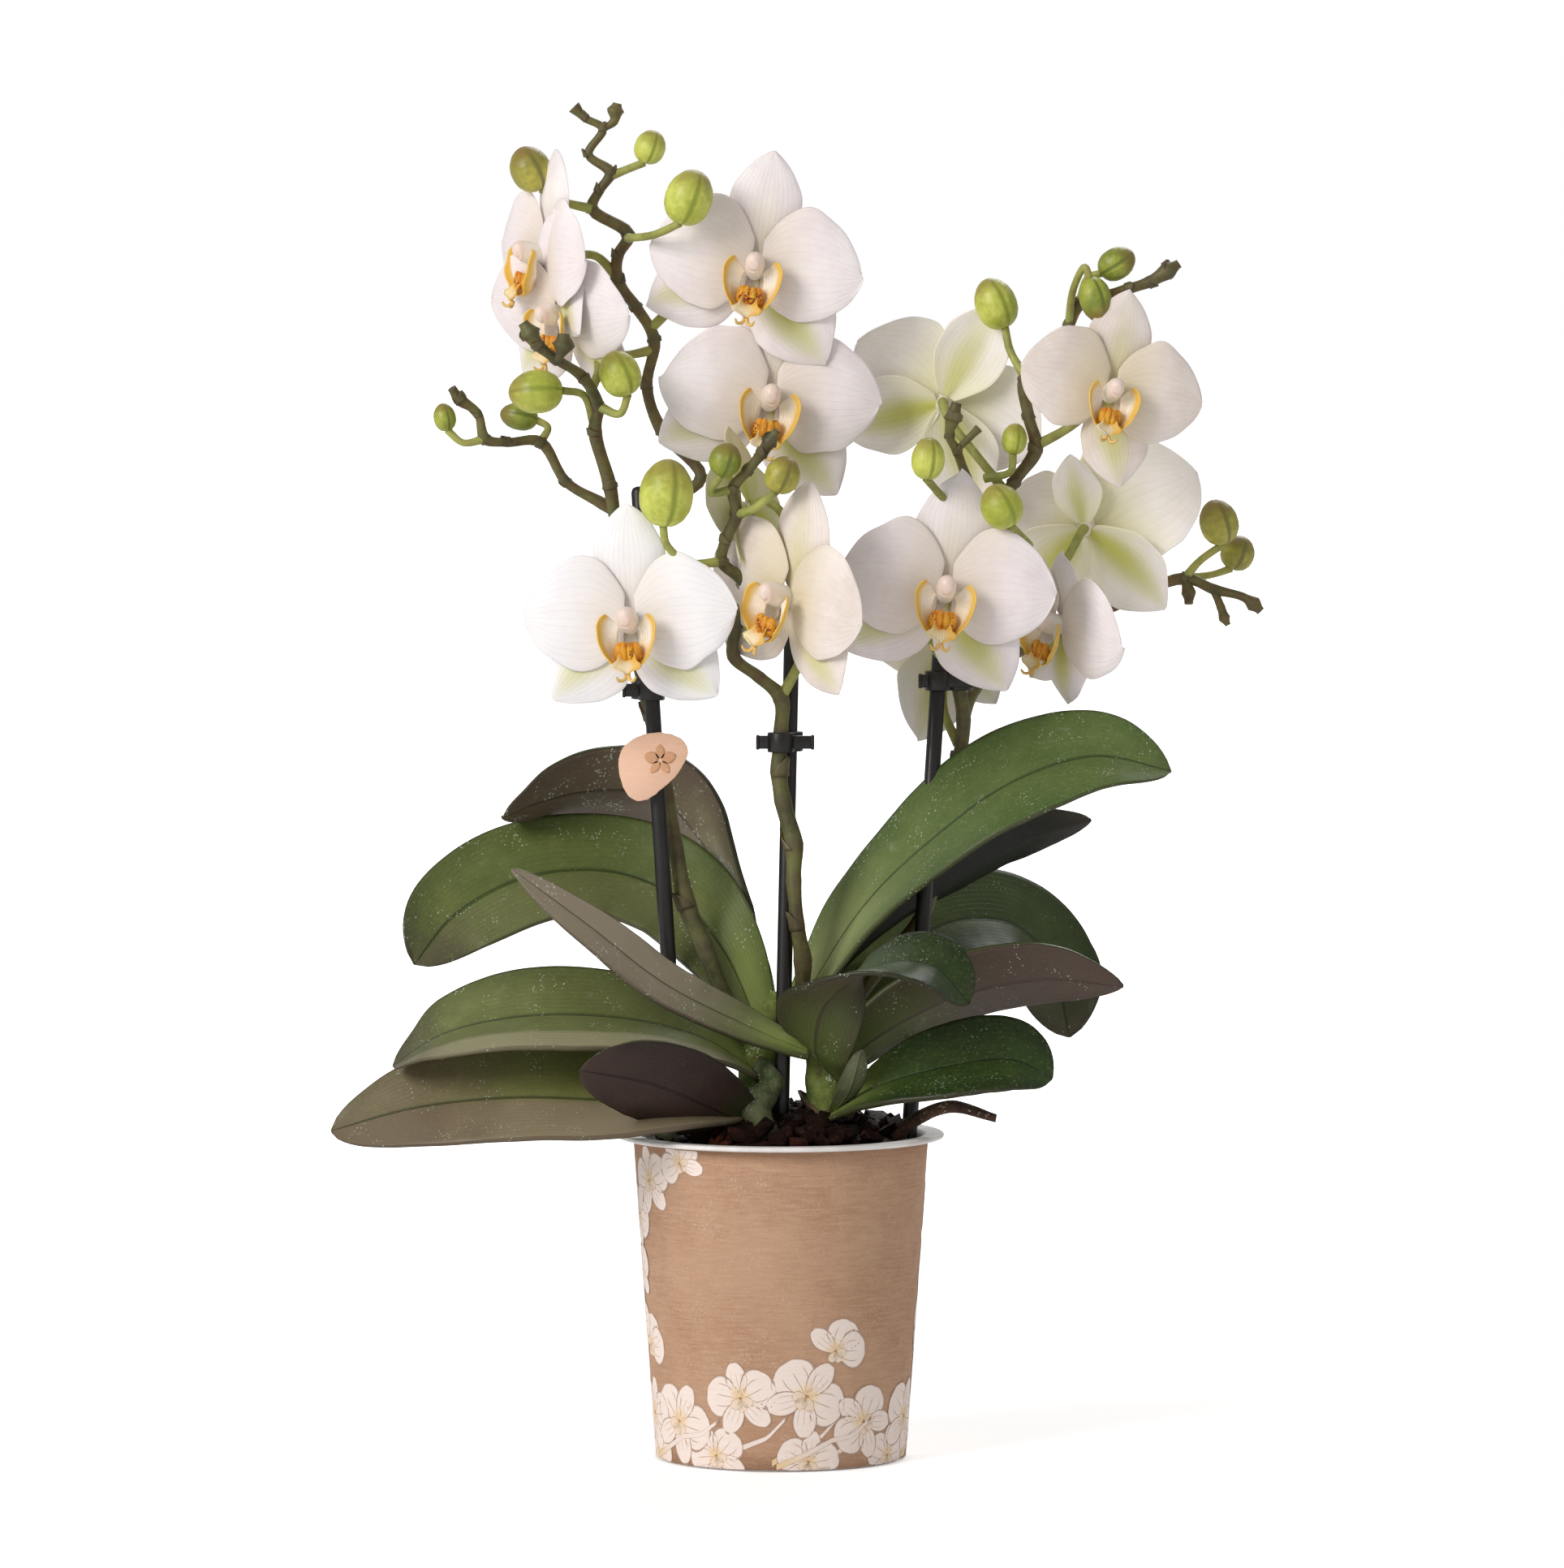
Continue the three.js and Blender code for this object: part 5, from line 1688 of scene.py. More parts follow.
@dataclass
class Crown:
    """The two crowns: stubby stems wrapped in dry sheaths, where leaves and roots start."""

    routes: dict[str, Sequence[Stop]] = field(
        default_factory=lambda: {
            "left": ((-4, -2, 80, 5), (-7, -3, 98, 5), (-6, 0, 110, 5.5), (-3, 3, 121, 4), (-1, 4, 128, 2.6)),
            "right": ((14, 0, 80, 5), (13, -2, 95, 6), (12.5, -3, 104, 6), (11, -2, 112, 4.6), (9, -1, 119, 2.6)),
        }
    )
    green: Finish = field(
        default_factory=lambda: RootSkin(
            "crown_skin", coat=tone("838c4a"), under=tone("5b7030"), rust=tone("5a4a2c"), worn=0.3
        )
    )
    husk: Finish = field(
        default_factory=lambda: RootSkin(
            "crown_husk", coat=tone("7d654e"), under=tone("4a362a"), rust=tone("2e1c16"), worn=0.8
        )
    )

    def build(self) -> None:
        """Builds each crown and the torn sheaths at its foot."""
        for name, route in self.routes.items():
            bm = new_mesh()
            stations = walk(route, 7)
            sweep(bm, stations, 22)
            for vert in bm.verts:
                away = noise.noise(vert.co * 220) * 0.0007
                vert.co += Vector((noise.noise(vert.co * 160), noise.noise(vert.co * 171), 0)) * 0.0006
                vert.co.z += away
            Piece(f"crown_stem_{name}", (f"crown_{name}",), "root", (self.green.get(),)).make(bm)
            self.build_sheaths(name, stations)

    def build_sheaths(self, name: str, stations: Sequence[Station]) -> None:
        """Wraps a few papery sheath scales round a crown.

        Args:
            name: The crown's side.
            stations: The crown's stations.
        """
        bm = new_mesh()
        draw = random.Random(len(name))
        for i in range(7):
            station = stations[3 + i]
            start = draw.uniform(0, math.tau)
            reach = draw.uniform(5, 8) * MM

            def surface(side: float, share: float) -> Vector:
                """Gives a point of the sheath scale."""
                turn = start + side * lerp(1.5, 0.12, share**1.3)
                out = station.radius + (0.5 + 1.6 * share**2 + 0.25 * math.sin(side * 9)) * MM
                return station.point + Vector((math.cos(turn) * out, math.sin(turn) * out, share * reach - 2 * MM))

            blade(bm, 10, 8, surface)
        Piece(
            f"crown_sheaths_{name}", (f"crown_{name}",), "root", (self.husk.get(),), thickness=0.35 * MM, outward=False
        ).make(bm)


@dataclass
class Roots:
    """Three aerial roots: a thick knobbly one in front, a pale one to the left and a dry one to the right."""

    routes: dict[str, Sequence[Stop]] = field(
        default_factory=lambda: {
            "front": (
                (-5, -7, 109, 2.6), (-2.5, -13, 104, 3.6), (-6.5, -17, 98, 4.4), (-4.5, -22, 92, 3.7),
                (-5, -24, 86, 3.6), (-4, -24, 78, 2.4)
            ),
            "left": ((-25, -13, 80, 1.8), (-31, -14, 91, 2.2), (-43, -17, 95, 1.9), (-51, -17, 99, 0.8)),
            "right": ((27, -6, 80, 1.6), (33, -8, 91, 1.9), (46, -12, 98, 1.8), (59, -14, 95, 1.2)),
        }
    )
    finishes: dict[str, Finish] = field(
        default_factory=lambda: {
            "front": RootSkin("root_coat", coat=tone("6f7452"), under=tone("2e4020"), rust=tone("453724"), worn=0.6),
            "left": RootSkin("root_pale", coat=tone("cdcfb8"), under=tone("a3b368"), rust=tone("8d8a6a"), worn=0.2),
            "right": RootSkin("root_dry", coat=tone("5d4436"), under=tone("37261f"), rust=tone("221512"), worn=0.7),
        }
    )

    def build(self) -> None:
        """Builds each root with its knobs and wrinkles."""
        for name, route in self.routes.items():
            bm = new_mesh()
            stations = walk(route, 12)
            sweep(bm, stations, 18)
            for vert in bm.verts:
                place = vert.co * (180 if name == "front" else 260)
                bump = 0.0019 if name == "front" else 0.0006
                vert.co += Vector((noise.noise(place), noise.noise(place + Vector((9, 0, 0))), 0)) * bump
            Piece(f"root_cord_{name}", (f"root_{name}",), "root", (self.finishes[name].get(),)).make(bm)


# ---------------------------------------------------------------- leaves


@dataclass(frozen=True)
class LeafShape:
    """A leaf's spine in millimetres, its half width, its lean at base and tip, and its two skins."""

    spine: tuple[Point, ...]
    half: float
    lean: tuple[float, float]
    top: str = "green"
    under: str = "under_grey"
    pointed: float = 0.0
    wave: float = 1.0


LEAF_SHAPES: dict[str, LeafShape] = {
    "leaf_left_back": LeafShape(
        ((-2, 10, 121), (-10, 20, 147), (-21, 27, 168), (-34, 28, 181), (-51, 26, 183), (-67, 20, 180), (-77, 14, 176)),
        15, (-50, -40), "dark", "under_mottled", 0.4,
    ),
    "leaf_left_upper": LeafShape(
        ((-6, 0, 118), (-15, 5, 138), (-28, 15, 153), (-46, 22, 160), (-70, 18, 159), (-90, 10, 149), (-101, 2, 136)),
        17.5, (44, 50), "green_half", "under_grey",
    ),
    "leaf_left_slim": LeafShape(
        ((8, -13, 113), (-10, -19, 121), (-32, -28, 133), (-52, -34, 149), (-73, -38, 165)),
        7, (60, 66), "slim", "under_grey", 0.8,
    ),
    "leaf_left_middle": LeafShape(
        ((-7, -3, 107), (-22, -15, 117), (-43, -24, 123), (-69, -28, 124), (-92, -26, 119), (-106, -22, 110)),
        17, (40, 30), "olive", "under_grey", 0.3,
    ),
    "leaf_left_low": LeafShape(
        ((-8, -3, 97), (-24, -20, 100), (-46, -28, 101), (-72, -30, 102), (-99, -26, 99), (-123, -20, 92)),
        18, (30, 52), "plum_half", "under_plum", 0.3,
    ),
    "leaf_front_short": LeafShape(
        ((-7, -10, 92), (-20, -30, 100), (-36, -46, 108), (-54, -56, 112)), 13, (-40, -66), "green", "under_plum", 0.5,
    ),
    "leaf_right_upper": LeafShape(
        ((4, 3, 122), (23, 0, 152), (42, -4, 171), (64, -8, 187), (86, -10, 194), (107, -10, 190)),
        19, (40, 44), "bright", "under_grey", 0.5,
    ),
    "leaf_right_second": LeafShape(
        (
            (1, 8, 121), (29, 12, 146), (51, 16, 160), (69, 18, 170), (86, 18, 175)
        ), 13, (-20, -38), "dark", "under_dark", 0.8,
    ),
    "leaf_right_back": LeafShape(
        ((12, 4, 110), (29, 24, 134), (49, 40, 145), (66, 48, 143), (76, 50, 132), (81, 48, 112)),
        17, (40, 50), "dark", "under_grey",
    ),
    "leaf_right_purple": LeafShape(
        (
            (13, -2, 106), (26, -5, 117), (47, -7, 128), (71, -8, 133), (94, -10, 131)
        ), 14, (-35, -52), "green", "under_speckled",
        0.9,
    ),
    "leaf_right_front": LeafShape(
        ((15, -7, 106), (10, -22, 115), (13, -36, 130), (27, -43, 139), (41, -45, 139), (51, -45, 129)),
        14, (-40, 50), "spotted", "under_speckled",
    ),
    "leaf_right_low": LeafShape(
        (
            (13, -7, 95), (27, -18, 104), (46, -24, 110), (63, -26, 112), (74, -26, 107)
        ), 15, (30, 46), "spotted", "under_grey",
        0.3,
    ),
    "leaf_sprout": LeafShape(
        ((14, -9, 96), (19, -20, 104), (22, -27, 115)), 3.6, (0, 0), "bright", "under_grey", 0.5, 0.3
    ),
}


def leaf_skins() -> dict[str, Finish]:
    """Lists the skins that the leaves choose from.

    Returns:
        The finish for each name.
    """
    plum = tone("64534c")
    return {
        "green": Leaf("leaf_green"),
        "green_half": Leaf(
            "leaf_green_half", light=tone("747e44"), dark=tone("43532a"), half=tone("6e7249"), half_share=0.75
        ),
        "bright": Leaf("leaf_bright", light=tone("808f52"), dark=tone("425a2a"), base=tone("a0aa72"), tip_start=0.92),
        "dark": Leaf("leaf_dark", light=tone("4d5b2e"), dark=tone("2e3b1d"), spots=0.16, base=tone("66743c")),
        "olive": Leaf(
            "leaf_olive", light=tone("808550"), dark=tone("4b552b"), half=tone("979272"), half_from=0.45,
            half_share=0.85
        ),
        "plum_half": Leaf(
            "leaf_plum_half", light=tone("939459"), dark=tone("5e6335"), half=tone("93836c"), half_share=0.9,
            tip=tone("6d5f4d"), tip_start=0.58,
        ),
        "slim": Leaf(
            "leaf_slim", light=tone("7c7f58"), dark=tone("585c3c"), tip=tone("978a7a"), tip_start=0.3, spots=0.26
        ),
        # Painted shade: a darker copy of the green skin for the right-hand leaves, partly their own deep green and
        # partly the shade on that side.
        "spotted": Leaf("leaf_spotted_painted_shade", light=tone("3b5222"), dark=tone("16240d"), spots=0.2, tip_start=0.95),
        "under_grey": Leaf(
            "leaf_under_grey", light=tone("7c8264"), dark=tone("5c6349"), rib=tone("4b4c38"), gloss=0.5, tip=plum
        ),
        "under_plum": Leaf(
            "leaf_under_plum", light=tone("40302a"), dark=tone("2a1e1a"), base=tone("3e4a25"), rib=tone("1c120f"),
            gloss=0.46, spots=0.06, tip=tone("463630"),
        ),
        "under_mottled": Leaf(
            "leaf_under_mottled", light=tone("8f8b68"), dark=tone("675b4e"), base=tone("98a064"), tip=tone("64544c"),
            tip_start=0.28, gloss=0.5, spots=0.34, rib=tone("463c38"),
        ),
        # Painted shade: a near-black underside that stands for the shade under a right-hand leaf.
        "under_dark": Leaf(
            "leaf_under_painted_shade", light=tone("141c0c"), dark=tone("090d05"), base=tone("18210e"), gloss=0.55, spots=0.04
        ),
        "under_speckled": Leaf(
            "leaf_under_speckled", light=tone("5e5044"), dark=tone("40352d"), base=tone("54632f"), base_end=0.75,
            tip=tone("52443c"),
            tip_start=0.4, gloss=0.5, spots=0.2, rib=tone("463833"),
        ),
    }


@dataclass
class Leaves:
    """All the leaves: thick troughed blades with a sunk midrib, thin edges and a different underside."""

    thickness: float = 1.5 * MM
    fold: float = 0.17
    shapes: dict[str, LeafShape] = field(default_factory=lambda: dict(LEAF_SHAPES))
    skins: dict[str, Finish] = field(default_factory=leaf_skins)

    def build(self) -> None:
        """Builds each leaf."""
        for number, (name, shape) in enumerate(self.shapes.items()):
            self.build_leaf(name, shape, number)

    def outline(self, share: float, pointed: float) -> float:
        """Gives a leaf's width along its length.

        Args:
            share: How far along the leaf.
            pointed: How sharp its tip is, from 0 for round to 1.

        Returns:
            The width as a share of the widest.
        """
        widest = 0.55
        if share < widest:
            return 0.32 + 0.68 * math.sin(share / widest * math.pi / 2)
        out = (share - widest) / (1 - widest)
        round_tip = max(0.0, 1 - out**2.6) ** 0.62
        sharp_tip = max(0.0, 1 - out**1.7) ** 0.9
        return max(0.012, lerp(round_tip, sharp_tip, pointed * 0.6))

    def build_leaf(self, name: str, shape: LeafShape, number: int) -> None:
        """Lays a grid on the leaf's surface and gives it two skins.

        Args:
            name: The CAD node that it stands for.
            shape: Its shape.
            number: Makes its small waves its own.
        """
        hand = 1.0 if shape.spine[0][0] > shape.spine[-1][0] else -1.0
        rows = LEAF_STEPS * (len(shape.spine) - 1)
        stations = walk([(*point, 0.0) for point in shape.spine], LEAF_STEPS)

        def surface(side: float, share: float) -> Vector:
            """Gives a point of the leaf's middle surface."""
            place = min(share * rows, rows - 1e-6)
            low = int(place)
            first, second = stations[low], stations[low + 1]
            point = first.point.lerp(second.point, place - low)
            tangent = first.tangent.lerp(second.tangent, place - low).normalized()
            flat = (Vector((0, 0, 1)).cross(tangent) * -hand).normalized()
            lean = math.radians(lerp(*shape.lean, share))
            across = Matrix.Rotation(-lean * hand, 3, tangent) @ flat
            face = across.cross(tangent) * hand
            width = shape.half * MM * self.outline(share, shape.pointed)
            trough = self.fold * width * (abs(side) ** 1.25)
            crease = -0.35 * MM * math.exp(-((side * 9) ** 2)) * (1 - share)
            wave = noise.noise(Vector((share * 5, side * 0.8, number * 7.3))) * 1.1 * MM * shape.wave
            ripple = noise.noise(Vector((share * 16, side * 2.0, number))) * 0.25 * MM
            lift = trough + crease + (wave + ripple) * abs(side)
            return point + across * (width * side * hand) + face * lift

        bm = new_mesh()
        blade(bm, 26, rows + 16, surface)
        skins = (self.skins[shape.top].get(), self.skins[shape.under].get())
        piece = Piece(
            name.replace("leaf", "blade"), (name,), "leaf_green", skins, thickness=self.thickness, outward=False
        )
        made = piece.make(bm)
        self.thin_edges(made)

    def thin_edges(self, leaf: bpy.types.Object) -> None:
        """Gives the leaf's wall its thickness: full at the base, thin at the edges and tip.

        Args:
            leaf: The leaf.
        """
        body = leaf.vertex_groups.new(name="body")
        along = leaf.data.attributes["along"].data
        across = leaf.data.attributes["across"].data
        for i in range(len(leaf.data.vertices)):
            weight = (1 - 0.8 * abs(across[i].value) ** 3) * (1 - 0.45 * along[i].value)
            body.add([i], weight, "REPLACE")
        wall = leaf.modifiers["thickness"]
        wall.vertex_group = body.name
        wall.thickness_vertex_group = 0.12


# ---------------------------------------------------------------- blooms


@dataclass(frozen=True)
class BloomPlace:
    """Where a bloom is, in millimetres, which way it faces and rolls, in degrees, and its size and stalk."""

    centre: Point
    facing: tuple[float, float]
    roll: float
    size: float
    spike: str
    stalk: tuple[Stop, ...]
    tepals: dict[str, tuple[float, float]] = field(default_factory=dict)
    tint: str = "white"

    def axes(self) -> Matrix:
        """Gives the bloom's own axes: x to its right, y up, z the way it faces."""
        right, up = (math.radians(angle) for angle in self.facing)
        face = Vector((math.sin(right) * math.cos(up), -math.cos(right) * math.cos(up), math.sin(up)))
        side = Matrix.Rotation(math.radians(self.roll), 3, face) @ Vector((math.cos(right), math.sin(right), 0))
        turn = Matrix((side, face.cross(side), face)).transposed().to_4x4()
        return Matrix.Translation(Vector(self.centre) * MM) @ turn


BLOOMS: dict[str, BloomPlace] = {
    "bloom_top_centre": BloomPlace(
        (-7, -6, 328), (-4, -4), -9, 1, "left", ((-36, 16, 311, 1.4), (-24, 13, 322, 1.3), (-13, 8, 327, 1.2)),
        {"left_sepal": (-152, 32), "right_sepal": (-46, 33)},
    ),
    "bloom_centre": BloomPlace(
        (-3, 0, 292), (2, -6), -8, 1.03, "left", ((-30, 16, 279, 1.4), (-18, 15, 284, 1.3), (-8, 12, 289, 1.2)),
        {"left_sepal": (-150, 32), "right_sepal": (-48, 32)},
    ),
    "bloom_top_left": BloomPlace((-66, 6, 331), (-64, 0), -6, 0.92, "left", ((-45, 14, 325, 1.4), (-51, 14, 331, 1.2))),
    "bloom_left": BloomPlace((-61, 1, 315), (-44, -14), -4, 0.9, "left", ((-52, -11, 294, 1.4), (-50, -2, 301, 1.2))),
    "bloom_front_left": BloomPlace(
        (-41, -32, 232), (-8, -4), 2, 1, "left", ((-41, 2, 232, 1.5), (-41, -10, 232, 1.3)), tint="bright"
    ),
    "bloom_middle": BloomPlace(
        (1, -34, 239), (-46, -4), -16, 1, "centre", ((0, -9, 210, 1.5), (6, -11, 222, 1.3), (9, -15, 233, 1.3)),
        tint="cream",
    ),
    "bloom_small_back": BloomPlace(
        (-10, -10, 262), (-118, -18), 0, 0.72, "centre", ((-9, -21, 242, 1.4), (0, -19, 248, 1.3), (2, -15, 258, 1.2)),
        tint="young",
    ),
    "bloom_right": BloomPlace(
        (45, -18, 240), (0, -4), -7, 1.02, "right", ((49, 12, 216, 1.5), (42, 6, 224, 1.3), (42, -2, 236, 1.2)),
        {"left_sepal": (-144, 32), "right_sepal": (-52, 32)},
    ),
    "bloom_right_back": BloomPlace(
        (45, 16, 291), (176, 4), 30, 0.98, "right", (
            (62, 3, 266, 1.4), (54, 2, 276, 1.2), (47, 5, 285, 1.2)
        ), tint="back"
    ),
    "bloom_upper_right": BloomPlace(
        (90, -16, 294), (10, -2), -12, 0.88, "right", ((70, 0, 279, 1.5), (79, 0, 284, 1.3), (86, -4, 290, 1.2)),
        {"left_sepal": (-156, 22), "right_sepal": (-70, 30)}, "cream",
    ),
    "bloom_far_right": BloomPlace(
        (85, 26, 257), (164, 20), 0, 1, "right", ((61, 34, 218, 1.4), (68, 22, 230, 1.3), (77, 14, 244, 1.2)),
        {"dorsal": (84, 22), "left_petal": (154, 36), "right_petal": (8, 24), "left_sepal": (-132, 32)}, "back",
    ),
    "bloom_low_right": BloomPlace(
        (76, 6, 230), (-50, -8), -16, 0.9, "right", ((77, 44, 225, 1.4), (88, 30, 228, 1.2)),
        {"left_sepal": (-120, 26), "right_sepal": (-80, 26), "dorsal": (100, 22)},
    ),
    "bloom_low_back": BloomPlace(
        (46, 32, 226), (-160, -6), 0, 0.84, "right", ((49, 15, 196, 1.4), (45, 17, 206, 1.2), (46, 22, 218, 1.2)),
        {"right_sepal": (-70, 37), "left_sepal": (-122, 28)}, "back",
    ),
}

SPREAD: dict[str, tuple[float, float]] = {
    "dorsal": (90, 32),
    "left_sepal": (-137, 31),
    "right_sepal": (-43, 31),
    "left_petal": (176, 29.5),
    "right_petal": (4, 29.5),
}


LOBE_RIM = (
    ((0, 1.4), (0.2, 4.4), (0.4, 6.4), (0.6, 7.8), (0.8, 8.3), (0.92, 7.4), (1, 5.8)),
    ((0, -12.2), (0.2, -10.8), (0.4, -7.8), (0.6, -4.2), (0.8, -0.4), (0.92, 2.0), (1, 3.0)),
    ((0, 6.4), (0.2, 7.6), (0.4, 8.4), (0.6, 8.4), (0.8, 7.4), (0.92, 6.6), (1, 6.0)),
)
"""The side lobe's rim, as x, y and z in millimetres, from the bottom of the bowl to its top."""

CALLUS_LUMPS = (
    (0.0, -8.8, 5.3, 3.8, 2.3, 2.0),
    (-2.1, -7.5, 5.8, 1.6, 2.6, 1.5),
    (2.1, -7.5, 5.8, 1.6, 2.6, 1.5),
    (-0.8, -7.4, 6.8, 1.1, 2.9, 1.4),
    (0.9, -7.5, 6.8, 1.1, 2.8, 1.4),
)


@dataclass(frozen=True)
class PetalTints:
    """The finishes that one tint of bloom uses, for each kind of petal."""

    petal: Finish
    dorsal: Finish
    sepal: Finish

    @classmethod
    def make(cls, name: str, white: str, shade: str, heart: str, streak: float, dorsal_streak: float) -> "PetalTints":
        """Makes a tint's finishes.

        Args:
            name: The tint's name.
            white: The petals' main tone.
            shade: The tone that they drift to.
            heart: The tone near the middle of the bloom, partly painted shade there.
            streak: How green the lower sepals' streak is.
            dorsal_streak: How green the top sepal's and the petals' streak is.

        Returns:
            The tint.
        """
        tones = {"white": tone(white), "shade": tone(shade), "heart": tone(heart)}
        return cls(
            Petal(f"petal_{name}", **tones, streak_share=dorsal_streak * 0.3, streak_end=0.4),
            Petal(f"dorsal_{name}", **tones, streak_share=dorsal_streak, streak_end=0.9),
            Petal(f"sepal_{name}", **tones, streak_share=streak, streak_end=1.05, streak_width=0.5),
        )


@dataclass
class Blooms:
    """The moth orchid blooms: three sepals behind, two broad petals, and the lip with its column."""

    hub: float = 4.6
    petal_wall: float = 0.38 * MM
    tints: dict[str, PetalTints] = field(
        default_factory=lambda: {
            "white": PetalTints.make("white", "f7f1f3", "ece3e5", "e4d8cc", 0.85, 0.12),
            "bright": PetalTints.make("bright", "fbfafd", "f4f2f6", "ece5de", 0.75, 0.04),
            "cream": PetalTints.make("cream", "f0e7e2", "e1d5cd", "ddd0b2", 0.7, 0.3),
            "young": PetalTints.make("young", "eee9cf", "dfdcae", "c6cc7c", 0.9, 0.7),
            "back": PetalTints.make("back", "fffaf7", "f7f0ea", "eeebc4", 0.85, 0.6),
        }
    )
    lobe: Finish = field(default_factory=lambda: SideLobe("lip_side_lobe"))
    tongue: Finish = field(default_factory=lambda: SideLobe("lip_tongue", white=tone("f3dfa8"), yellow=tone("e9b844")))
    callus: Finish = field(default_factory=lambda: Callus("lip_callus"))
    column: Finish = field(default_factory=lambda: ColumnSkin("column_wax"))

    def build(self) -> None:
        """Builds each bloom."""
        for number, (name, place) in enumerate(BLOOMS.items()):
            self.build_bloom(name, place, number)

    def build_bloom(self, name: str, place: BloomPlace, number: int) -> None:
        """Builds one bloom's petals, lip and column.

        Args:
            name: The CAD node that it stands for.
            place: Where it is and how it faces.
            number: Makes its small waves its own.
        """
        tints = self.tints[place.tint]
        axes = place.axes() @ Matrix.Scale(place.size * MM, 4)
        for order, (part, usual) in enumerate(SPREAD.items()):
            angle, reach = place.tepals.get(part, usual)
            bm = new_mesh()
            blade(bm, 14, 16, self.tepal_surface(part, angle, reach, number * 5 + order))
            bmesh.ops.transform(bm, matrix=axes, verts=bm.verts)
            finish = tints.petal if part.endswith("petal") else tints.dorsal if part == "dorsal" else tints.sepal
            Piece(
                f"{name}_{part}", (name,), "petal_white", (finish.get(),), thickness=self.petal_wall * place.size,
                smooth_levels=1, outward=False,
            ).make(bm)
        self.build_lobes(name, axes)
        self.build_tongue(name, axes)
        self.build_callus(name, axes)
        self.build_column(name, axes)

    def tepal_surface(self, part: str, angle: float, reach: float, seed: int) -> Callable[[float, float], Vector]:
        """Describes the surface of one petal or sepal in the bloom's own axes, in millimetres.

        Args:
            part: Which of the five it is.
            angle: The way it points, in degrees from the bloom's right.
            reach: Its length.
            seed: Makes its waves its own.

        Returns:
            A function of across and along.
        """
        petal = part.endswith("petal")
        turn = math.radians(angle)
        out = Vector((math.cos(turn), math.sin(turn), 0))
        sideways = Vector((-math.sin(turn), math.cos(turn), 0))
        front = Vector((0, 0, 1))
        broad = 0.545 if petal else 0.33 if part == "dorsal" else 0.37
        widest = 0.44 if petal else 0.5

        def surface(side: float, share: float) -> Vector:
            """Gives a point of the petal."""
            place = math.sin(share * math.pi / 2) ** 1.12
            far = lerp(0.05, 1.0, place)
            if far < widest:
                half = lerp(
                    0.42 if petal else 0.26, 1.0,
                    math.sin(max(0.0, far - 0.05) / (widest - 0.05) * math.pi / 2) ** (0.85 if petal else 0.95)
                )
            else:
                past = (far - widest) / (1 - widest)
                half = max(0.03, (1 - past**1.8) ** (0.62 if petal else 0.8))
            width = half * broad * reach
            cup = (0.07 if petal else 0.03) * math.sin(far * math.pi * 0.9)
            curl = -0.1 * max(0.0, far - 0.7) ** 1.4
            raise_by = (cup + curl) * reach - (0.8 if petal else 3.0)
            bow = (-0.13 if petal else -0.2) * side * side * width
            ruffle = noise.noise(Vector((far * 3.4, side * 1.2, seed * 3.7))) * 1.5 * abs(side) ** 1.5 * far
            drift = noise.noise(Vector((far * 1.6, seed * 5.1, 0))) * 1.3 * far
            crease = -0.35 * math.exp(-((side * 7) ** 2)) * (1 - far)
            lean = noise.noise(Vector((seed * 2.3, 1.0, 0))) * 0.05 * side
            lift = raise_by + bow + ruffle + drift + crease
            edge = 1 + noise.noise(Vector((far * 5.0, side * 3.0, seed))) * 0.1 * abs(side)
            upward = -0.055 * reach * math.sin(far * math.pi) * math.cos(turn) * (1 if petal else 0)
            skew = width * side * edge - upward
            return out * (far * reach * (1 + lean)) + sideways * skew + front * lift

        return surface

    def build_lobes(self, name: str, axes: Matrix) -> None:
        """Adds the lip's two side lobes, which stand up like the halves of a bowl.

        Args:
            name: The bloom's CAD node.
            axes: The bloom's axes, scaled to millimetres.
        """
        bm = new_mesh()
        for hand in (-1.0, 1.0):

            def surface(side: float, share: float) -> Vector:
                """Gives a point of the lobe, from its root line at -1 to its rim at 1."""
                turn = math.radians(lerp(-88, 62, share))
                out = (side + 1) / 2
                near = Vector((1.6 + 1.4 * math.cos(turn), -4.4 + 3.6 * math.sin(turn), 3.4))
                rim = Vector([table(row, share) for row in LOBE_RIM])
                rim.z += 0.35 * math.sin(share * 17 + hand)
                point = near.lerp(rim, out)
                bulge = math.sin(out * math.pi) * 1.2
                point += Vector((math.cos(turn) * bulge * 0.7, math.sin(turn) * bulge * 0.4, -bulge * 0.8))
                return Vector((point.x * hand, point.y, point.z))

            blade(bm, 10, 12, surface)
        bmesh.ops.transform(bm, matrix=axes, verts=bm.verts)
        Piece(
            f"{name}_side_lobes", (name,), "petal_white", (self.lobe.get(),), thickness=0.5 * MM, smooth_levels=1,
            outward=False,
        ).make(bm)

    def build_tongue(self, name: str, axes: Matrix) -> None:
        """Adds the lip's middle lobe: an arrowhead that juts out and ends in two curled threads.

        Args:
            name: The bloom's CAD node.
            axes: The bloom's axes, scaled to millimetres.
        """
        bm = new_mesh()

        def surface(side: float, share: float) -> Vector:
            """Gives a point of the tongue."""
            half = table(((0, 2.0), (0.35, 2.6), (0.6, 4.2), (0.75, 3.8), (0.9, 1.5), (1, 0.5)), share)
            y = lerp(-8.6, -13.6, share)
            z = 5.6 + 3.4 * math.sin(share * 1.7)
            keel = 2.0 * (side * side) * (1 - 0.4 * share)
            return Vector((half * side, y + keel * 0.5, z + keel * 0.7))

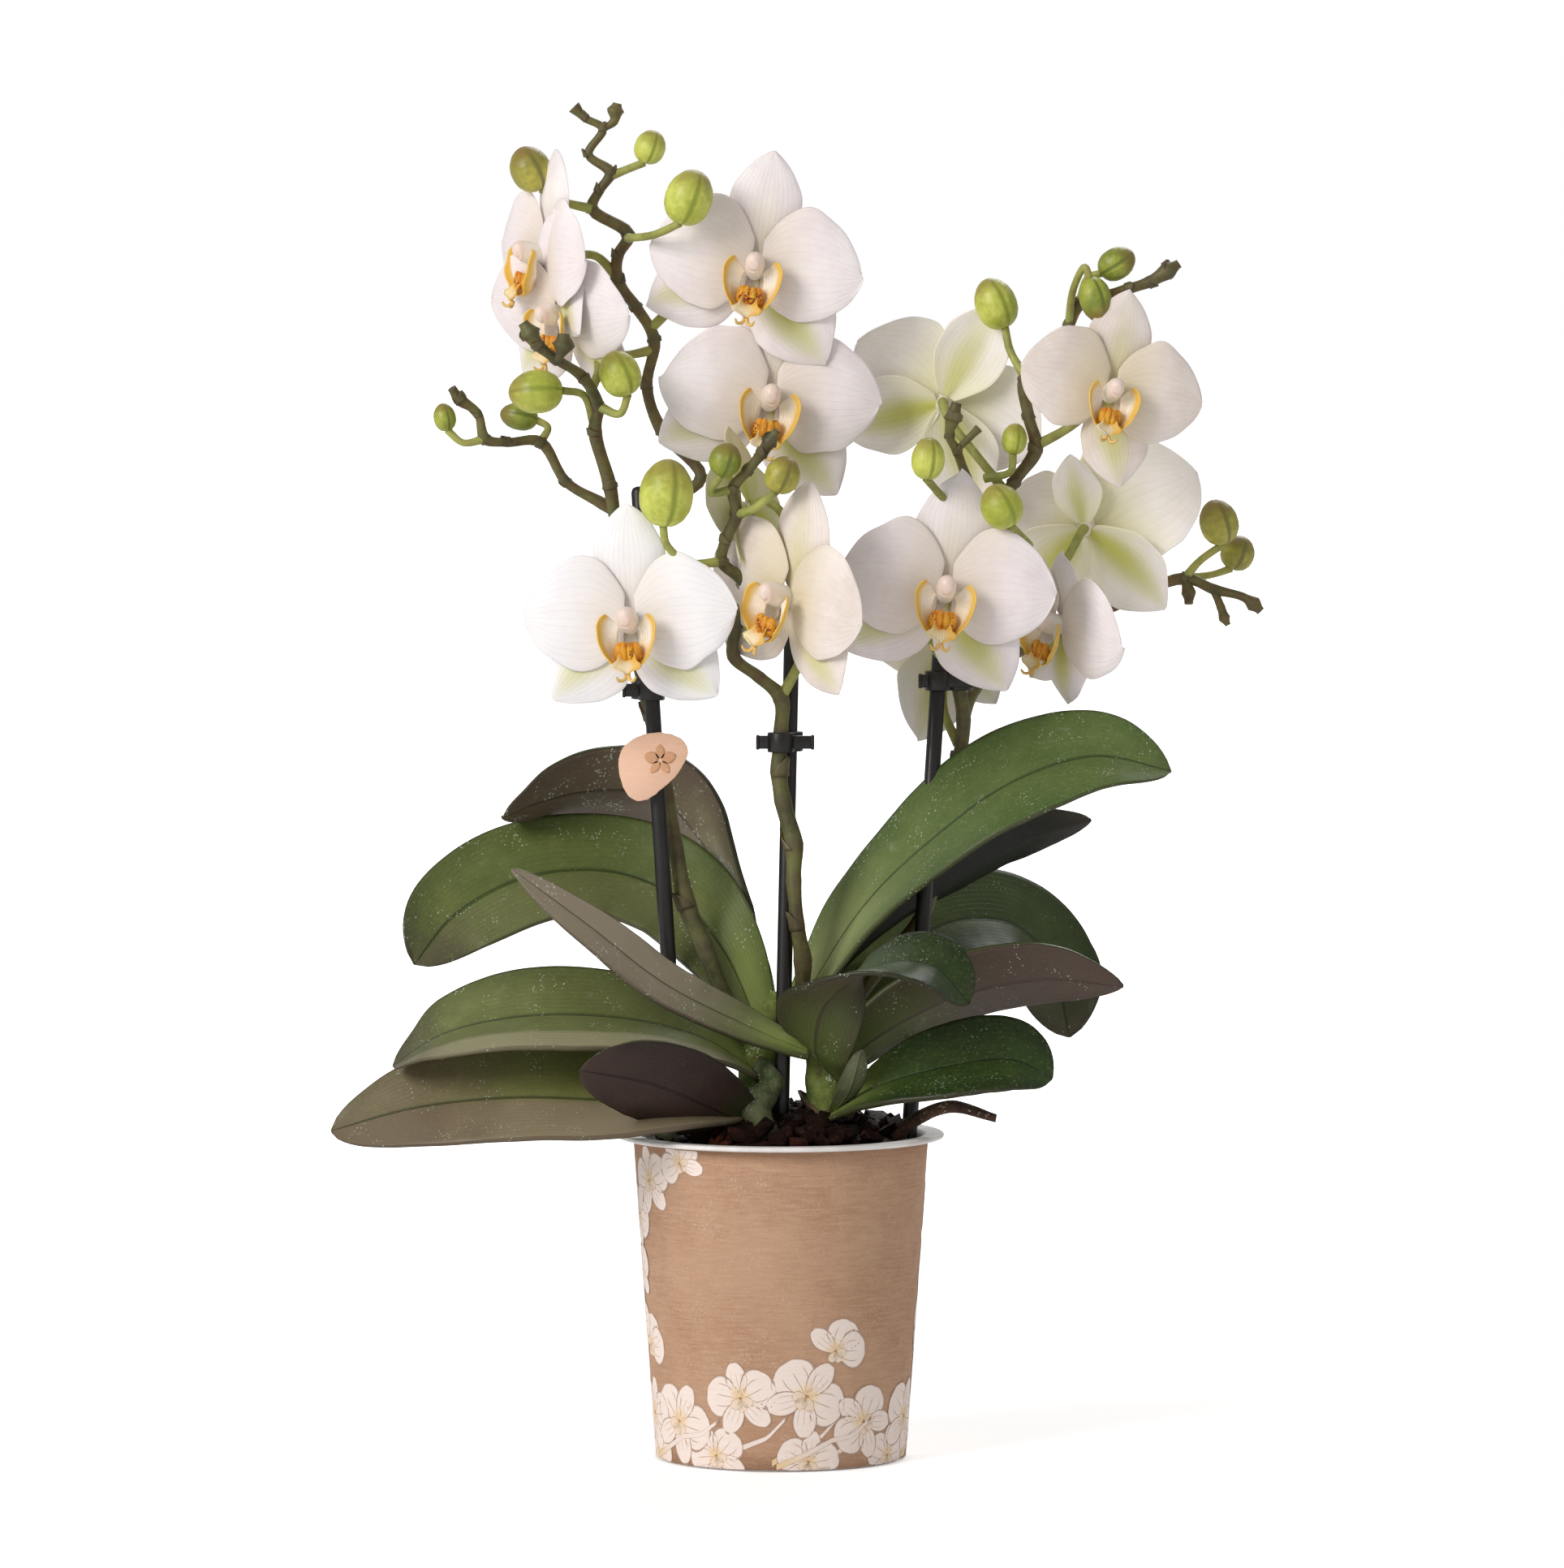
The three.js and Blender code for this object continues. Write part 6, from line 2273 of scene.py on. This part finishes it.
        blade(bm, 10, 14, surface)
        for hand in (-1, 1):
            thread = [
                (hand * 0.3, -13.6, 8.6, 0.4),
                (hand * 0.9, -14.9, 9.2, 0.32),
                (hand * 2.0, -15.0, 10.2, 0.24),
                (hand * 2.6, -14.0, 10.8, 0.12),
            ]
            stations = [
                Station(station.point / MM, station.tangent, station.radius / MM, 0.98) for station in walk(thread, 5)
            ]
            sweep(bm, stations, 7, start_across=Vector((1, 0, 0)))
        bmesh.ops.transform(bm, matrix=axes, verts=bm.verts)
        Piece(
            f"{name}_tongue", (name,), "petal_white", (self.tongue.get(),), thickness=0.4 * MM, outward=False
        ).make(bm)

    def build_callus(self, name: str, axes: Matrix) -> None:
        """Adds the orange two-toothed callus at the heart of the lip.

        Args:
            name: The bloom's CAD node.
            axes: The bloom's axes, scaled to millimetres.
        """
        bm = new_mesh()
        for x, y, z, wide, tall, deep in CALLUS_LUMPS:
            verts = bmesh.ops.create_icosphere(bm, subdivisions=3, radius=1.0)["verts"]
            for vert in verts:
                vert.co *= 1 + 0.12 * noise.noise(vert.co * 1.6 + Vector((x, y, z)))
            place = Matrix.Translation((x, y, z)) @ Matrix.Diagonal((wide, tall, deep, 1.0))
            bmesh.ops.transform(bm, matrix=place, verts=verts)
        bmesh.ops.transform(bm, matrix=axes, verts=bm.verts)
        Piece(f"{name}_callus", (name,), "petal_white", (self.callus.get(),)).make(bm)

    def build_column(self, name: str, axes: Matrix) -> None:
        """Adds the column: a hooded stub with a rounded pink cap over the lip.

        Args:
            name: The bloom's CAD node.
            axes: The bloom's axes, scaled to millimetres.
        """
        route = (
            (0, -0.2, -4.4, 1.5), (0, -0.6, -1, 2.9), (0, 0.4, 2.2, 3.1), (0, 1.4, 5.0, 3.0), (0, 1.7, 7.4, 2.7),
            (0, 1.2, 9.0, 1.4),
        )
        bm = new_mesh()
        stations = [Station(s.point / MM, s.tangent, s.radius / MM, s.share) for s in walk(route, 5)]
        sweep(bm, stations, 16, lambda turn: 1.0 + 0.12 * math.cos(turn * math.tau * 2))
        bmesh.ops.transform(bm, matrix=axes, verts=bm.verts)
        Piece(f"{name}_column", (name,), "petal_white", (self.column.get(),), smooth_levels=1).make(bm)


# ---------------------------------------------------------------- buds


@dataclass(frozen=True)
class BudPlace:
    """Where a bud is, in millimetres, which way its tip points, its size, and its stalk."""

    centre: Point
    tip: Point
    length: float
    width: float
    spike: str
    stalk: tuple[Stop, ...]
    node: str = ""
    skin: str = "green"


BUDS: dict[str, BudPlace] = {
    "bud_left_a": BudPlace(
        (-36, 12, 361), (0.35, 0, 1), 9.6, 8.6, "left",
        ((-47, 12, 353, 1.3), (-42, 12, 355, 1.1)),
    ),
    "bud_left_b": BudPlace(
        (-69, 12, 355), (-0.5, 0, 1), 13, 11.4, "left",
        ((-52, 12, 344, 1.4), (-60, 12, 346, 1.1)), skin="olive",
    ),
    "bud_left_c": BudPlace(
        (-25, -16, 347), (0.35, 0, 1), 15.6, 13, "left",
        ((-42, 13, 336, 1.4), (-41, 1, 336, 1.1), (-34, -12, 337, 1.1)),
    ),
    "bud_left_d": BudPlace(
        (-52, 8, 313), (0.2, 0, 1), 8, 7, "left",
        ((-35.5, 16, 305, 1.4), (-44, 12, 304, 1.1)), "spike_left", "deep",
    ),
    "bud_left_e": BudPlace(
        (-44, -14, 299), (-0.4, 0, 1), 13, 11.4, "left",
        ((-50, -7, 290, 1.4), (-44, -11, 288, 1.1)),
    ),
    "bud_left_f": BudPlace(
        (-67, -12, 294), (-1, 0, -0.05), 15, 12, "left",
        ((-51, -2, 284, 1.3), (-54, -8, 293, 1.1)),
    ),
    "bud_left_g": BudPlace(
        (-72, 3, 287), (-1, 0, 0.2), 10.6, 7.6, "left",
        ((-66, 1, 280, 1.2), (-64, 2, 284, 1)), skin="deep",
    ),
    "bud_left_h": BudPlace(
        (-92, -8, 287), (-0.2, 0, 1), 7.8, 6.2, "left",
        ((-81, -5, 281, 1.2), (-87, -7, 280, 1)), "spike_left", "deep",
    ),
    "bud_centre_a": BudPlace(
        (-31, -36, 267), (0.1, 0, 1), 18.6, 14.8, "centre",
        ((-16, -26, 248, 1.4), (-25, -31, 248, 1.1), (-31, -35, 253, 1.1)),
    ),
    "bud_centre_b": BudPlace(
        (-15, -38, 276), (0.3, 0, 1), 9.4, 8.8, "centre",
        ((-13, -33, 268, 1.3), (-19, -36, 267, 1)), skin="deep",
    ),
    "bud_centre_c": BudPlace(
        (0.5, -42, 272), (0.4, 0, 1), 10.4, 9.6, "centre",
        ((-12, -30, 261, 1.3), (-7, -36, 263, 1.1)), skin="olive",
    ),
    "bud_right_a": BudPlace(
        (59, 6, 318), (-0.4, 0, 1), 14.6, 11.6, "right",
        ((67, 0, 298, 1.4), (63, 3, 305, 1.1)),
    ),
    "bud_right_b": BudPlace(
        (92, -4, 329), (0.8, 0, 0.5), 10.8, 8.8, "right",
        ((82, -2, 318, 1.3), (84, -3, 325, 1)), skin="deep",
    ),
    "bud_right_c": BudPlace(
        (86, -11, 319), (0.3, 0, -1), 12.8, 9, "right",
        ((79, 0, 312, 1.2), (80, -7, 322, 1), (83, -11, 328, 1)), skin="deep",
    ),
    "bud_right_d": BudPlace(
        (64, -4, 281), (0.1, 0, 1), 8.6, 7, "right",
        ((56, 1, 270, 1.3), (63, -2, 272, 1)), "spike_right",
    ),
    "bud_right_e": BudPlace(
        (40, -24, 276), (0.1, 0, 1), 11.6, 9.2, "right",
        ((54, 0, 264, 1.3), (46, -14, 264, 1.1)),
    ),
    "bud_right_f": BudPlace(
        (60, -20, 263), (-0.5, 0, 1), 12.6, 11.6, "right",
        ((60, 5, 258, 1.2), (68, -10, 252, 1.1)),
    ),
    "bud_far_right_a": BudPlace(
        (122, 38, 257), (-0.3, 0, 1), 13, 11, "right",
        ((113, 46, 241, 1.3), (117, 42, 246, 1.1)), skin="olive",
    ),
    "bud_far_right_b": BudPlace(
        (128, 50, 248), (0.4, 0, 1), 10, 9.6, "right",
        ((113, 46, 241, 1.3), (121, 49, 242, 1)), "spike_right", "olive",
    ),
}


@dataclass
class Buds:
    """The closed buds: egg shapes of three sepals that meet at seams."""

    outline: tuple[tuple[float, float], ...] = (
        (0.0, 0.3), (0.05, 0.55), (0.14, 0.77), (0.28, 0.95), (0.42, 1.0), (0.58, 0.99), (0.72, 0.89), (0.84, 0.71),
        (0.93, 0.48), (1.0, 0.16),
    )
    skins: dict[str, Finish] = field(
        default_factory=lambda: {
            "green": BudSkin("bud_green"),
            "deep": BudSkin(
                "bud_deep", light=tone("a9b045"), dark=tone("77842c"), seam=tone("5d6c2a"), blush_share=0.45
            ),
            "olive": BudSkin(
                "bud_olive", light=tone("c2b850"), dark=tone("8f8c38"), seam=tone("6c6a36"), blush_share=0.5
            ),
        }
    )

    def build(self) -> None:
        """Builds each bud."""
        for name, place in BUDS.items():
            axis = Vector(place.tip).normalized()
            rows = 16
            stations: list[Station] = []
            for i in range(rows + 1):
                share = i / rows
                bow = Vector((0, -0.4, 0)) * math.sin(share * math.pi)
                point = (Vector(place.centre) + axis * (share - 0.5) * place.length + bow) * MM
                radius = table(self.outline, share) * place.width / 2 * MM
                stations.append(Station(point, axis, radius, share))
            bm = new_mesh()
            seam = Vector((0.4, -1, 0.2))
            sweep(bm, stations, BUD_SIDES, seam_groove, start_across=seam)
            skin = self.skins[place.skin].get()
            Piece(f"{name}_body", (place.node or name,), "bud_green", (skin,), smooth_levels=1).make(bm)


# ---------------------------------------------------------------- flower spikes


SPIKE_ROUTES: dict[str, tuple[tuple[Stop, ...], ...]] = {
    "left": (
        (
            (-8, 1, 110, 1.8), (-14, -1, 124, 2.1), (-21, -1, 141, 2.4), (-26, 0, 153, 2.6),
            (-29, 1, 169, 2), (-32, 3, 187, 1.9), (-36, 3, 205, 1.9), (-40, 2, 223, 1.8),
            (-43, 2, 241, 1.8), (-45, 2, 254, 1.8), (-47, 1, 268, 1.9), (-51, -3, 283, 1.9),
            (-50, -7, 290, 1.7), (-54, -15, 298, 1.6), (-61, -24, 303, 1.4), (-66, -27, 307, 1.7),
            (-68, -28, 310, 2.6), (-70, -28, 313, 1.4),
        ),
        (
            (-61, -24, 303, 1.3), (-60, -27, 304, 1.2), (-59, -28, 307, 3), (-59, -28, 310, 1.6),
        ),
        (
            (-40, 3, 257, 1.6), (-49, 4, 263, 1.7), (-59, 3, 269, 1.4), (-66, 1, 280, 1.6),
            (-75, -3, 280, 1.3), (-81, -5, 281, 1.6), (-83, -6, 288, 1.2), (-88, -8, 292, 1.8),
            (-90, -9, 295, 1.2),
        ),
        (
            (-45, 2, 252, 1.6), (-34, 10, 262, 1.6), (-22, 14, 270, 1.7), (-33, 16, 283, 1.8),
            (-37, 16, 295, 1.6), (-35, 16, 308, 1.7), (-40, 16, 317, 1.6), (-45, 14, 324, 1.9),
            (-45, 14, 331, 1.6), (-42, 14, 337, 1.8), (-52, 13, 344, 1.7), (-50, 12, 349, 1.3),
            (-47, 12, 354, 1.6), (-53, 12, 359, 1.2), (-49, 12, 366, 1.2), (-54, 12, 369, 1.1),
            (-57, 12, 372, 1.8),
        ),
        (
            (-49, 12, 366, 1), (-46, 12, 368, 1.2), (-45.5, 12, 371, 2.3), (-45, 12, 373, 1.2),
        ),
    ),
    "centre": (
        (
            (9, -2, 113, 1.8), (6, -5, 125, 2), (6, -9, 138, 2.5), (4.5, -11, 148, 2),
            (3.5, -10.5, 160, 2.1), (3.5, -10, 170, 2.6), (0.5, -9.5, 182, 2.3), (-0.5, -9.5, 190, 2.4),
            (0, -9.5, 201, 2), (0, -9, 210, 2.2), (-6, -12, 216, 1.7), (-13, -16, 222, 1.8),
            (-12, -19, 231, 1.6), (-10, -22, 242, 1.9), (-16, -26, 248, 1.6), (-15, -28, 254, 1.6),
            (-12, -30, 261, 1.7), (-13, -33, 268, 1.6), (-9, -36, 273, 1.4), (-5, -39, 278, 1.6),
            (-3, -40, 281, 2), (-1, -41, 284, 1),
        ),
    ),
    "right": (
        (
            (14, 3, 112, 1.8), (20, 9, 124, 2), (31, 15, 138, 2), (40, 17, 150, 2.1),
            (44, 16, 168, 2), (49, 14, 190, 2.1), (50.5, 13, 203, 2), (49, 12, 216, 2.2),
            (53, 12, 232, 1.8), (58, 8, 250, 1.8), (60, 4, 261, 1.9), (64, 2, 269, 1.7),
            (70, 0, 278, 2), (68, 0, 287, 1.6), (67, 0, 297, 1.9), (75, 0, 305, 1.4),
            (79, 0, 312, 1.5), (82, -2, 318, 1.8), (88, -3, 320, 1.4), (95, -4, 322, 1.5),
            (101, -4, 324, 1.6), (106, -4, 327, 2.4), (109, -4, 329, 1.2),
        ),
        (
            (60, 4, 261, 1.6), (54, 0, 264, 1.4), (51, -6, 270, 1.4), (48, -11, 278, 1.3),
            (46, -13, 282, 1.2), (47, -14, 287, 2.2), (48, -14, 291, 1.4),
        ),
        (
            (48, -11, 278, 1), (51, -12, 281, 1), (54, -13, 284, 1.2),
        ),
        (
            (50.5, 13, 203, 1.6), (54, 24, 211, 1.6), (61, 34, 218, 1.7), (77, 44, 225, 1.6),
            (95, 48, 234, 1.6), (113, 46, 241, 1.7), (121, 44, 238, 1.5), (129, 41, 236, 1.2),
            (132, 40, 234, 2.2), (134, 40, 232, 1.2),
        ),
        (
            (121, 44, 238, 1.2), (123, 43, 233, 1.2), (124, 43, 230, 1.6), (125, 43, 228, 0.8),
        ),
        (
            (113, 46, 241, 1.2), (114, 44, 237, 2), (114, 43, 234, 1.2),
        ),
    ),
}


@dataclass
class Spikes:
    """The flower spikes: jointed stems that zigzag, with a bract at each joint and a stalk to each bloom and bud."""

    per_span: int = 6
    sides: int = 14
    hub: float = 4.6
    joints: dict[str, tuple[float, ...]] = field(
        default_factory=lambda: {"left": (153.0, 204.0), "centre": (148.0, 170.0, 190.0), "right": (150.0, 190.0)}
    )
    skins: dict[str, Finish] = field(
        default_factory=lambda: {
            "stem": Stem("spike_skin"),
            "stalk": Stem("stalk_skin", light=tone("a9ad5e"), dark=tone("7a8240"), joint=tone("77693f"), stain=0.25),
            "bract": Stem("bract_skin", light=tone("6d6340"), dark=tone("524a30"), joint=tone("453629"), stain=0.6),
        }
    )

    def build(self) -> None:
        """Builds each spike, its stalks and its bracts."""
        for name, routes in SPIKE_ROUTES.items():
            self.build_stems(name, routes)
            self.build_stalks(name)
            self.build_bracts(name, routes)

    def swollen(self, stations: list[Station]) -> list[Station]:
        """Thickens a stem a little at each joint.

        Args:
            stations: The stem's stations.

        Returns:
            The stations with their new radii.
        """
        found: list[Station] = []
        for i, station in enumerate(stations):
            off = abs(i / self.per_span - round(i / self.per_span)) * 2
            grow = 1 + 0.06 * (1 - off) ** 3 - 0.07 * off
            found.append(Station(station.point, station.tangent, station.radius * grow, station.share))
        return found

    def build_stems(self, name: str, routes: Sequence[Sequence[Stop]]) -> None:
        """Sweeps the spike's stems.

        Args:
            name: The spike's name.
            routes: The stops of each stem.
        """
        bm = new_mesh()
        layer = bm.verts.layers.float.new("knuckle")
        for route in routes:
            before = len(bm.verts)
            stations = self.swollen(walk(route, self.per_span))
            sweep(bm, stations, self.sides)
            along = bm.verts.layers.float["along"]
            bm.verts.ensure_lookup_table()
            for vert in bm.verts[before:]:
                place = vert[along] * (len(route) - 1)
                vert[layer] = max(0.0, 1 - abs(place - round(place)) * 3.2) if len(route) > 4 else 0.3
        Piece(f"spike_{name}_stems", (f"spike_{name}",), "stem_green", (self.skins["stem"].get(),)).make(bm)

    def build_stalks(self, name: str) -> None:
        """Sweeps a stalk to the back of each bloom and the foot of each bud.

        Args:
            name: The spike's name.
        """
        bm = new_mesh()
        bm.verts.layers.float.new("knuckle")
        routes: list[Sequence[Stop]] = []
        for bloom in BLOOMS.values():
            if bloom.spike == name:
                axes = bloom.axes()
                before = axes @ Vector((0, 0, (-self.hub * bloom.size - 4) * MM)) / MM
                end = axes @ Vector((0, 0, (-self.hub * bloom.size + 0.6) * MM)) / MM
                routes.append((*bloom.stalk, (*before, 1.2), (*end, 1.5)))
        for bud in BUDS.values():
            if bud.spike == name:
                foot = Vector(bud.centre) - Vector(bud.tip).normalized() * (bud.length / 2 - 0.3)
                routes.append((*bud.stalk, (*foot, 1.1)))
        for route in routes:
            sweep(bm, walk(route, self.per_span + 2), 12)
        Piece(f"spike_{name}_stalks", (f"spike_{name}",), "stem_green", (self.skins["stalk"].get(),)).make(bm)

    def build_bracts(self, name: str, routes: Sequence[Sequence[Stop]]) -> None:
        """Clasps a small scale round the stem at each joint.

        Args:
            name: The spike's name.
            routes: The stops of each stem.
        """
        bm = new_mesh()
        bm.verts.layers.float.new("knuckle")
        draw = random.Random(7)
        for route in routes:
            if len(route) < 5:
                continue
            stations = walk(route, 1)
            for station in stations[2:-1]:
                low = station.point.z < 0.24
                if low and not any(abs(station.point.z / MM - joint) < 2 for joint in self.joints[name]):
                    continue
                self.bract(bm, station, draw.uniform(0, math.tau), 1.3 if low else 0.6)
        Piece(
            f"spike_{name}_bracts", (f"spike_{name}",), "stem_green", (self.skins["bract"].get(),),
            thickness=0.35 * MM, outward=False,
        ).make(bm)

    def bract(self, bm: bmesh.types.BMesh, station: Station, start: float, size: float) -> None:
        """Adds one scale, open on one side and pointed up the stem.

        Args:
            bm: The bracts' mesh.
            station: Where it sits.
            start: The way it faces round the stem.
            size: How large it is.
        """
        axes = station.frame(Vector((0, 1, 0)))

        def surface(side: float, share: float) -> Vector:
            """Gives a point of the scale."""
            turn = start + side * lerp(2.0, 0.15, share**1.2)
            out = station.radius * 1.04 + (0.12 + 0.45 * share**2 * size) * MM
            rise = (share * 4.2 - 1.1) * size * MM
            return axes @ Vector((math.cos(turn) * out, math.sin(turn) * out, rise))

        blade(bm, 8, 5, surface)


# ---------------------------------------------------------------- stage


@dataclass
class Stage:
    """A pale floor, a pale sky, soft lamps and the camera."""

    eye: Point = (0.0003, -2.5, 0.330)
    target: Point = (0.0003, 0.0, 0.186)
    lens: float = 208.96
    sensor: float = 36.0
    sky: Tone = tone("ffffff")
    sky_strength: float = 0.42
    floor_half: float = 30.0
    paint: Finish = field(default_factory=lambda: GlowingFloorPaint("floor_paint_glow"))

    def build(self) -> None:
        """Sets up the floor, the light and the camera."""
        self.build_floor()
        self.build_sky()
        self.build_lamp("key_lamp", (-1.8, -1.8, 1.4), 1.2, 48.0, tone("fffaf6"))
        self.build_lamp("fill_lamp", (1.9, -1.4, 0.9), 1.6, 1.5, tone("fdf3ee"))
        self.build_lamp("rim_lamp", (0.5, 1.9, 1.8), 1.4, 24.0, tone("ffffff"))
        self.build_camera()

    def build_floor(self) -> None:
        """Lays a large floor with faintly uneven paint that glows to the camera."""
        bm = bmesh.new()
        bmesh.ops.create_grid(bm, x_segments=24, y_segments=24, size=self.floor_half)
        mesh = bpy.data.meshes.new("floor")
        bm.to_mesh(mesh)
        bm.free()
        mesh.materials.append(self.paint.get())
        floor = bpy.data.objects.new("floor", mesh)
        bpy.context.scene.collection.objects.link(floor)

    def build_sky(self) -> None:
        """Fills the space round the plant with even pale light."""
        world = bpy.data.worlds.new("pale_sky")
        world.use_nodes = True
        tree = Tree(world.node_tree)
        back = world.node_tree.nodes["Background"]
        back.inputs["Color"].default_value = self.sky
        seen = tree.node("LightPath").outputs["Is Camera Ray"]
        extra = tree.times(seen, 1.0 - self.sky_strength)
        tree.feed(back.inputs["Strength"], tree.plus(extra, self.sky_strength))
        bpy.context.scene.world = world
        bpy.context.scene.view_settings.view_transform = "Standard"

    def build_lamp(self, name: str, place: Point, size: float, power: float, colour: Tone) -> None:
        """Hangs one soft square lamp that points at the plant.

        Args:
            name: The lamp's name.
            place: Where it hangs.
            size: Its side.
            power: Its power in watts.
            colour: Its colour.
        """
        light = bpy.data.lights.new(name, "AREA")
        light.shape = "SQUARE"
        light.size = size
        light.energy = power
        light.color = colour[:3]
        lamp = bpy.data.objects.new(name, light)
        aim = Vector((0, 0, 0.2)) - Vector(place)
        lamp.matrix_world = Matrix.Translation(place) @ aim.to_track_quat("-Z", "Y").to_matrix().to_4x4()
        bpy.context.scene.collection.objects.link(lamp)

    def build_camera(self) -> None:
        """Places the camera a little above the plant's middle and far enough back to look nearly level."""
        lens = bpy.data.cameras.new("camera")
        lens.lens = self.lens
        lens.sensor_width = self.sensor
        lens.clip_end = 100.0
        camera = bpy.data.objects.new("camera", lens)
        aim = Vector(self.target) - Vector(self.eye)
        camera.matrix_world = Matrix.Translation(self.eye) @ aim.to_track_quat("-Z", "Y").to_matrix().to_4x4()
        bpy.context.scene.collection.objects.link(camera)
        bpy.context.scene.camera = camera


def main() -> None:
    """Builds the orchid from the pot up, then the stage."""
    logging.basicConfig(level=logging.INFO, format="%(name)s %(message)s")
    sizes = PotSizes.from_frame()
    for part in (
        Pot(sizes),
        SleevePrint(sizes),
        BarkMix(sizes),
        Stakes(),
        Clips(),
        PlantTag(),
        Crown(),
        Roots(),
        Leaves(),
        Spikes(),
        Buds(),
        Blooms(),
        Stage(),
    ):
        LOG.info("building %s", type(part).__name__)
        part.build()


if __name__ == "__main__":
    main()
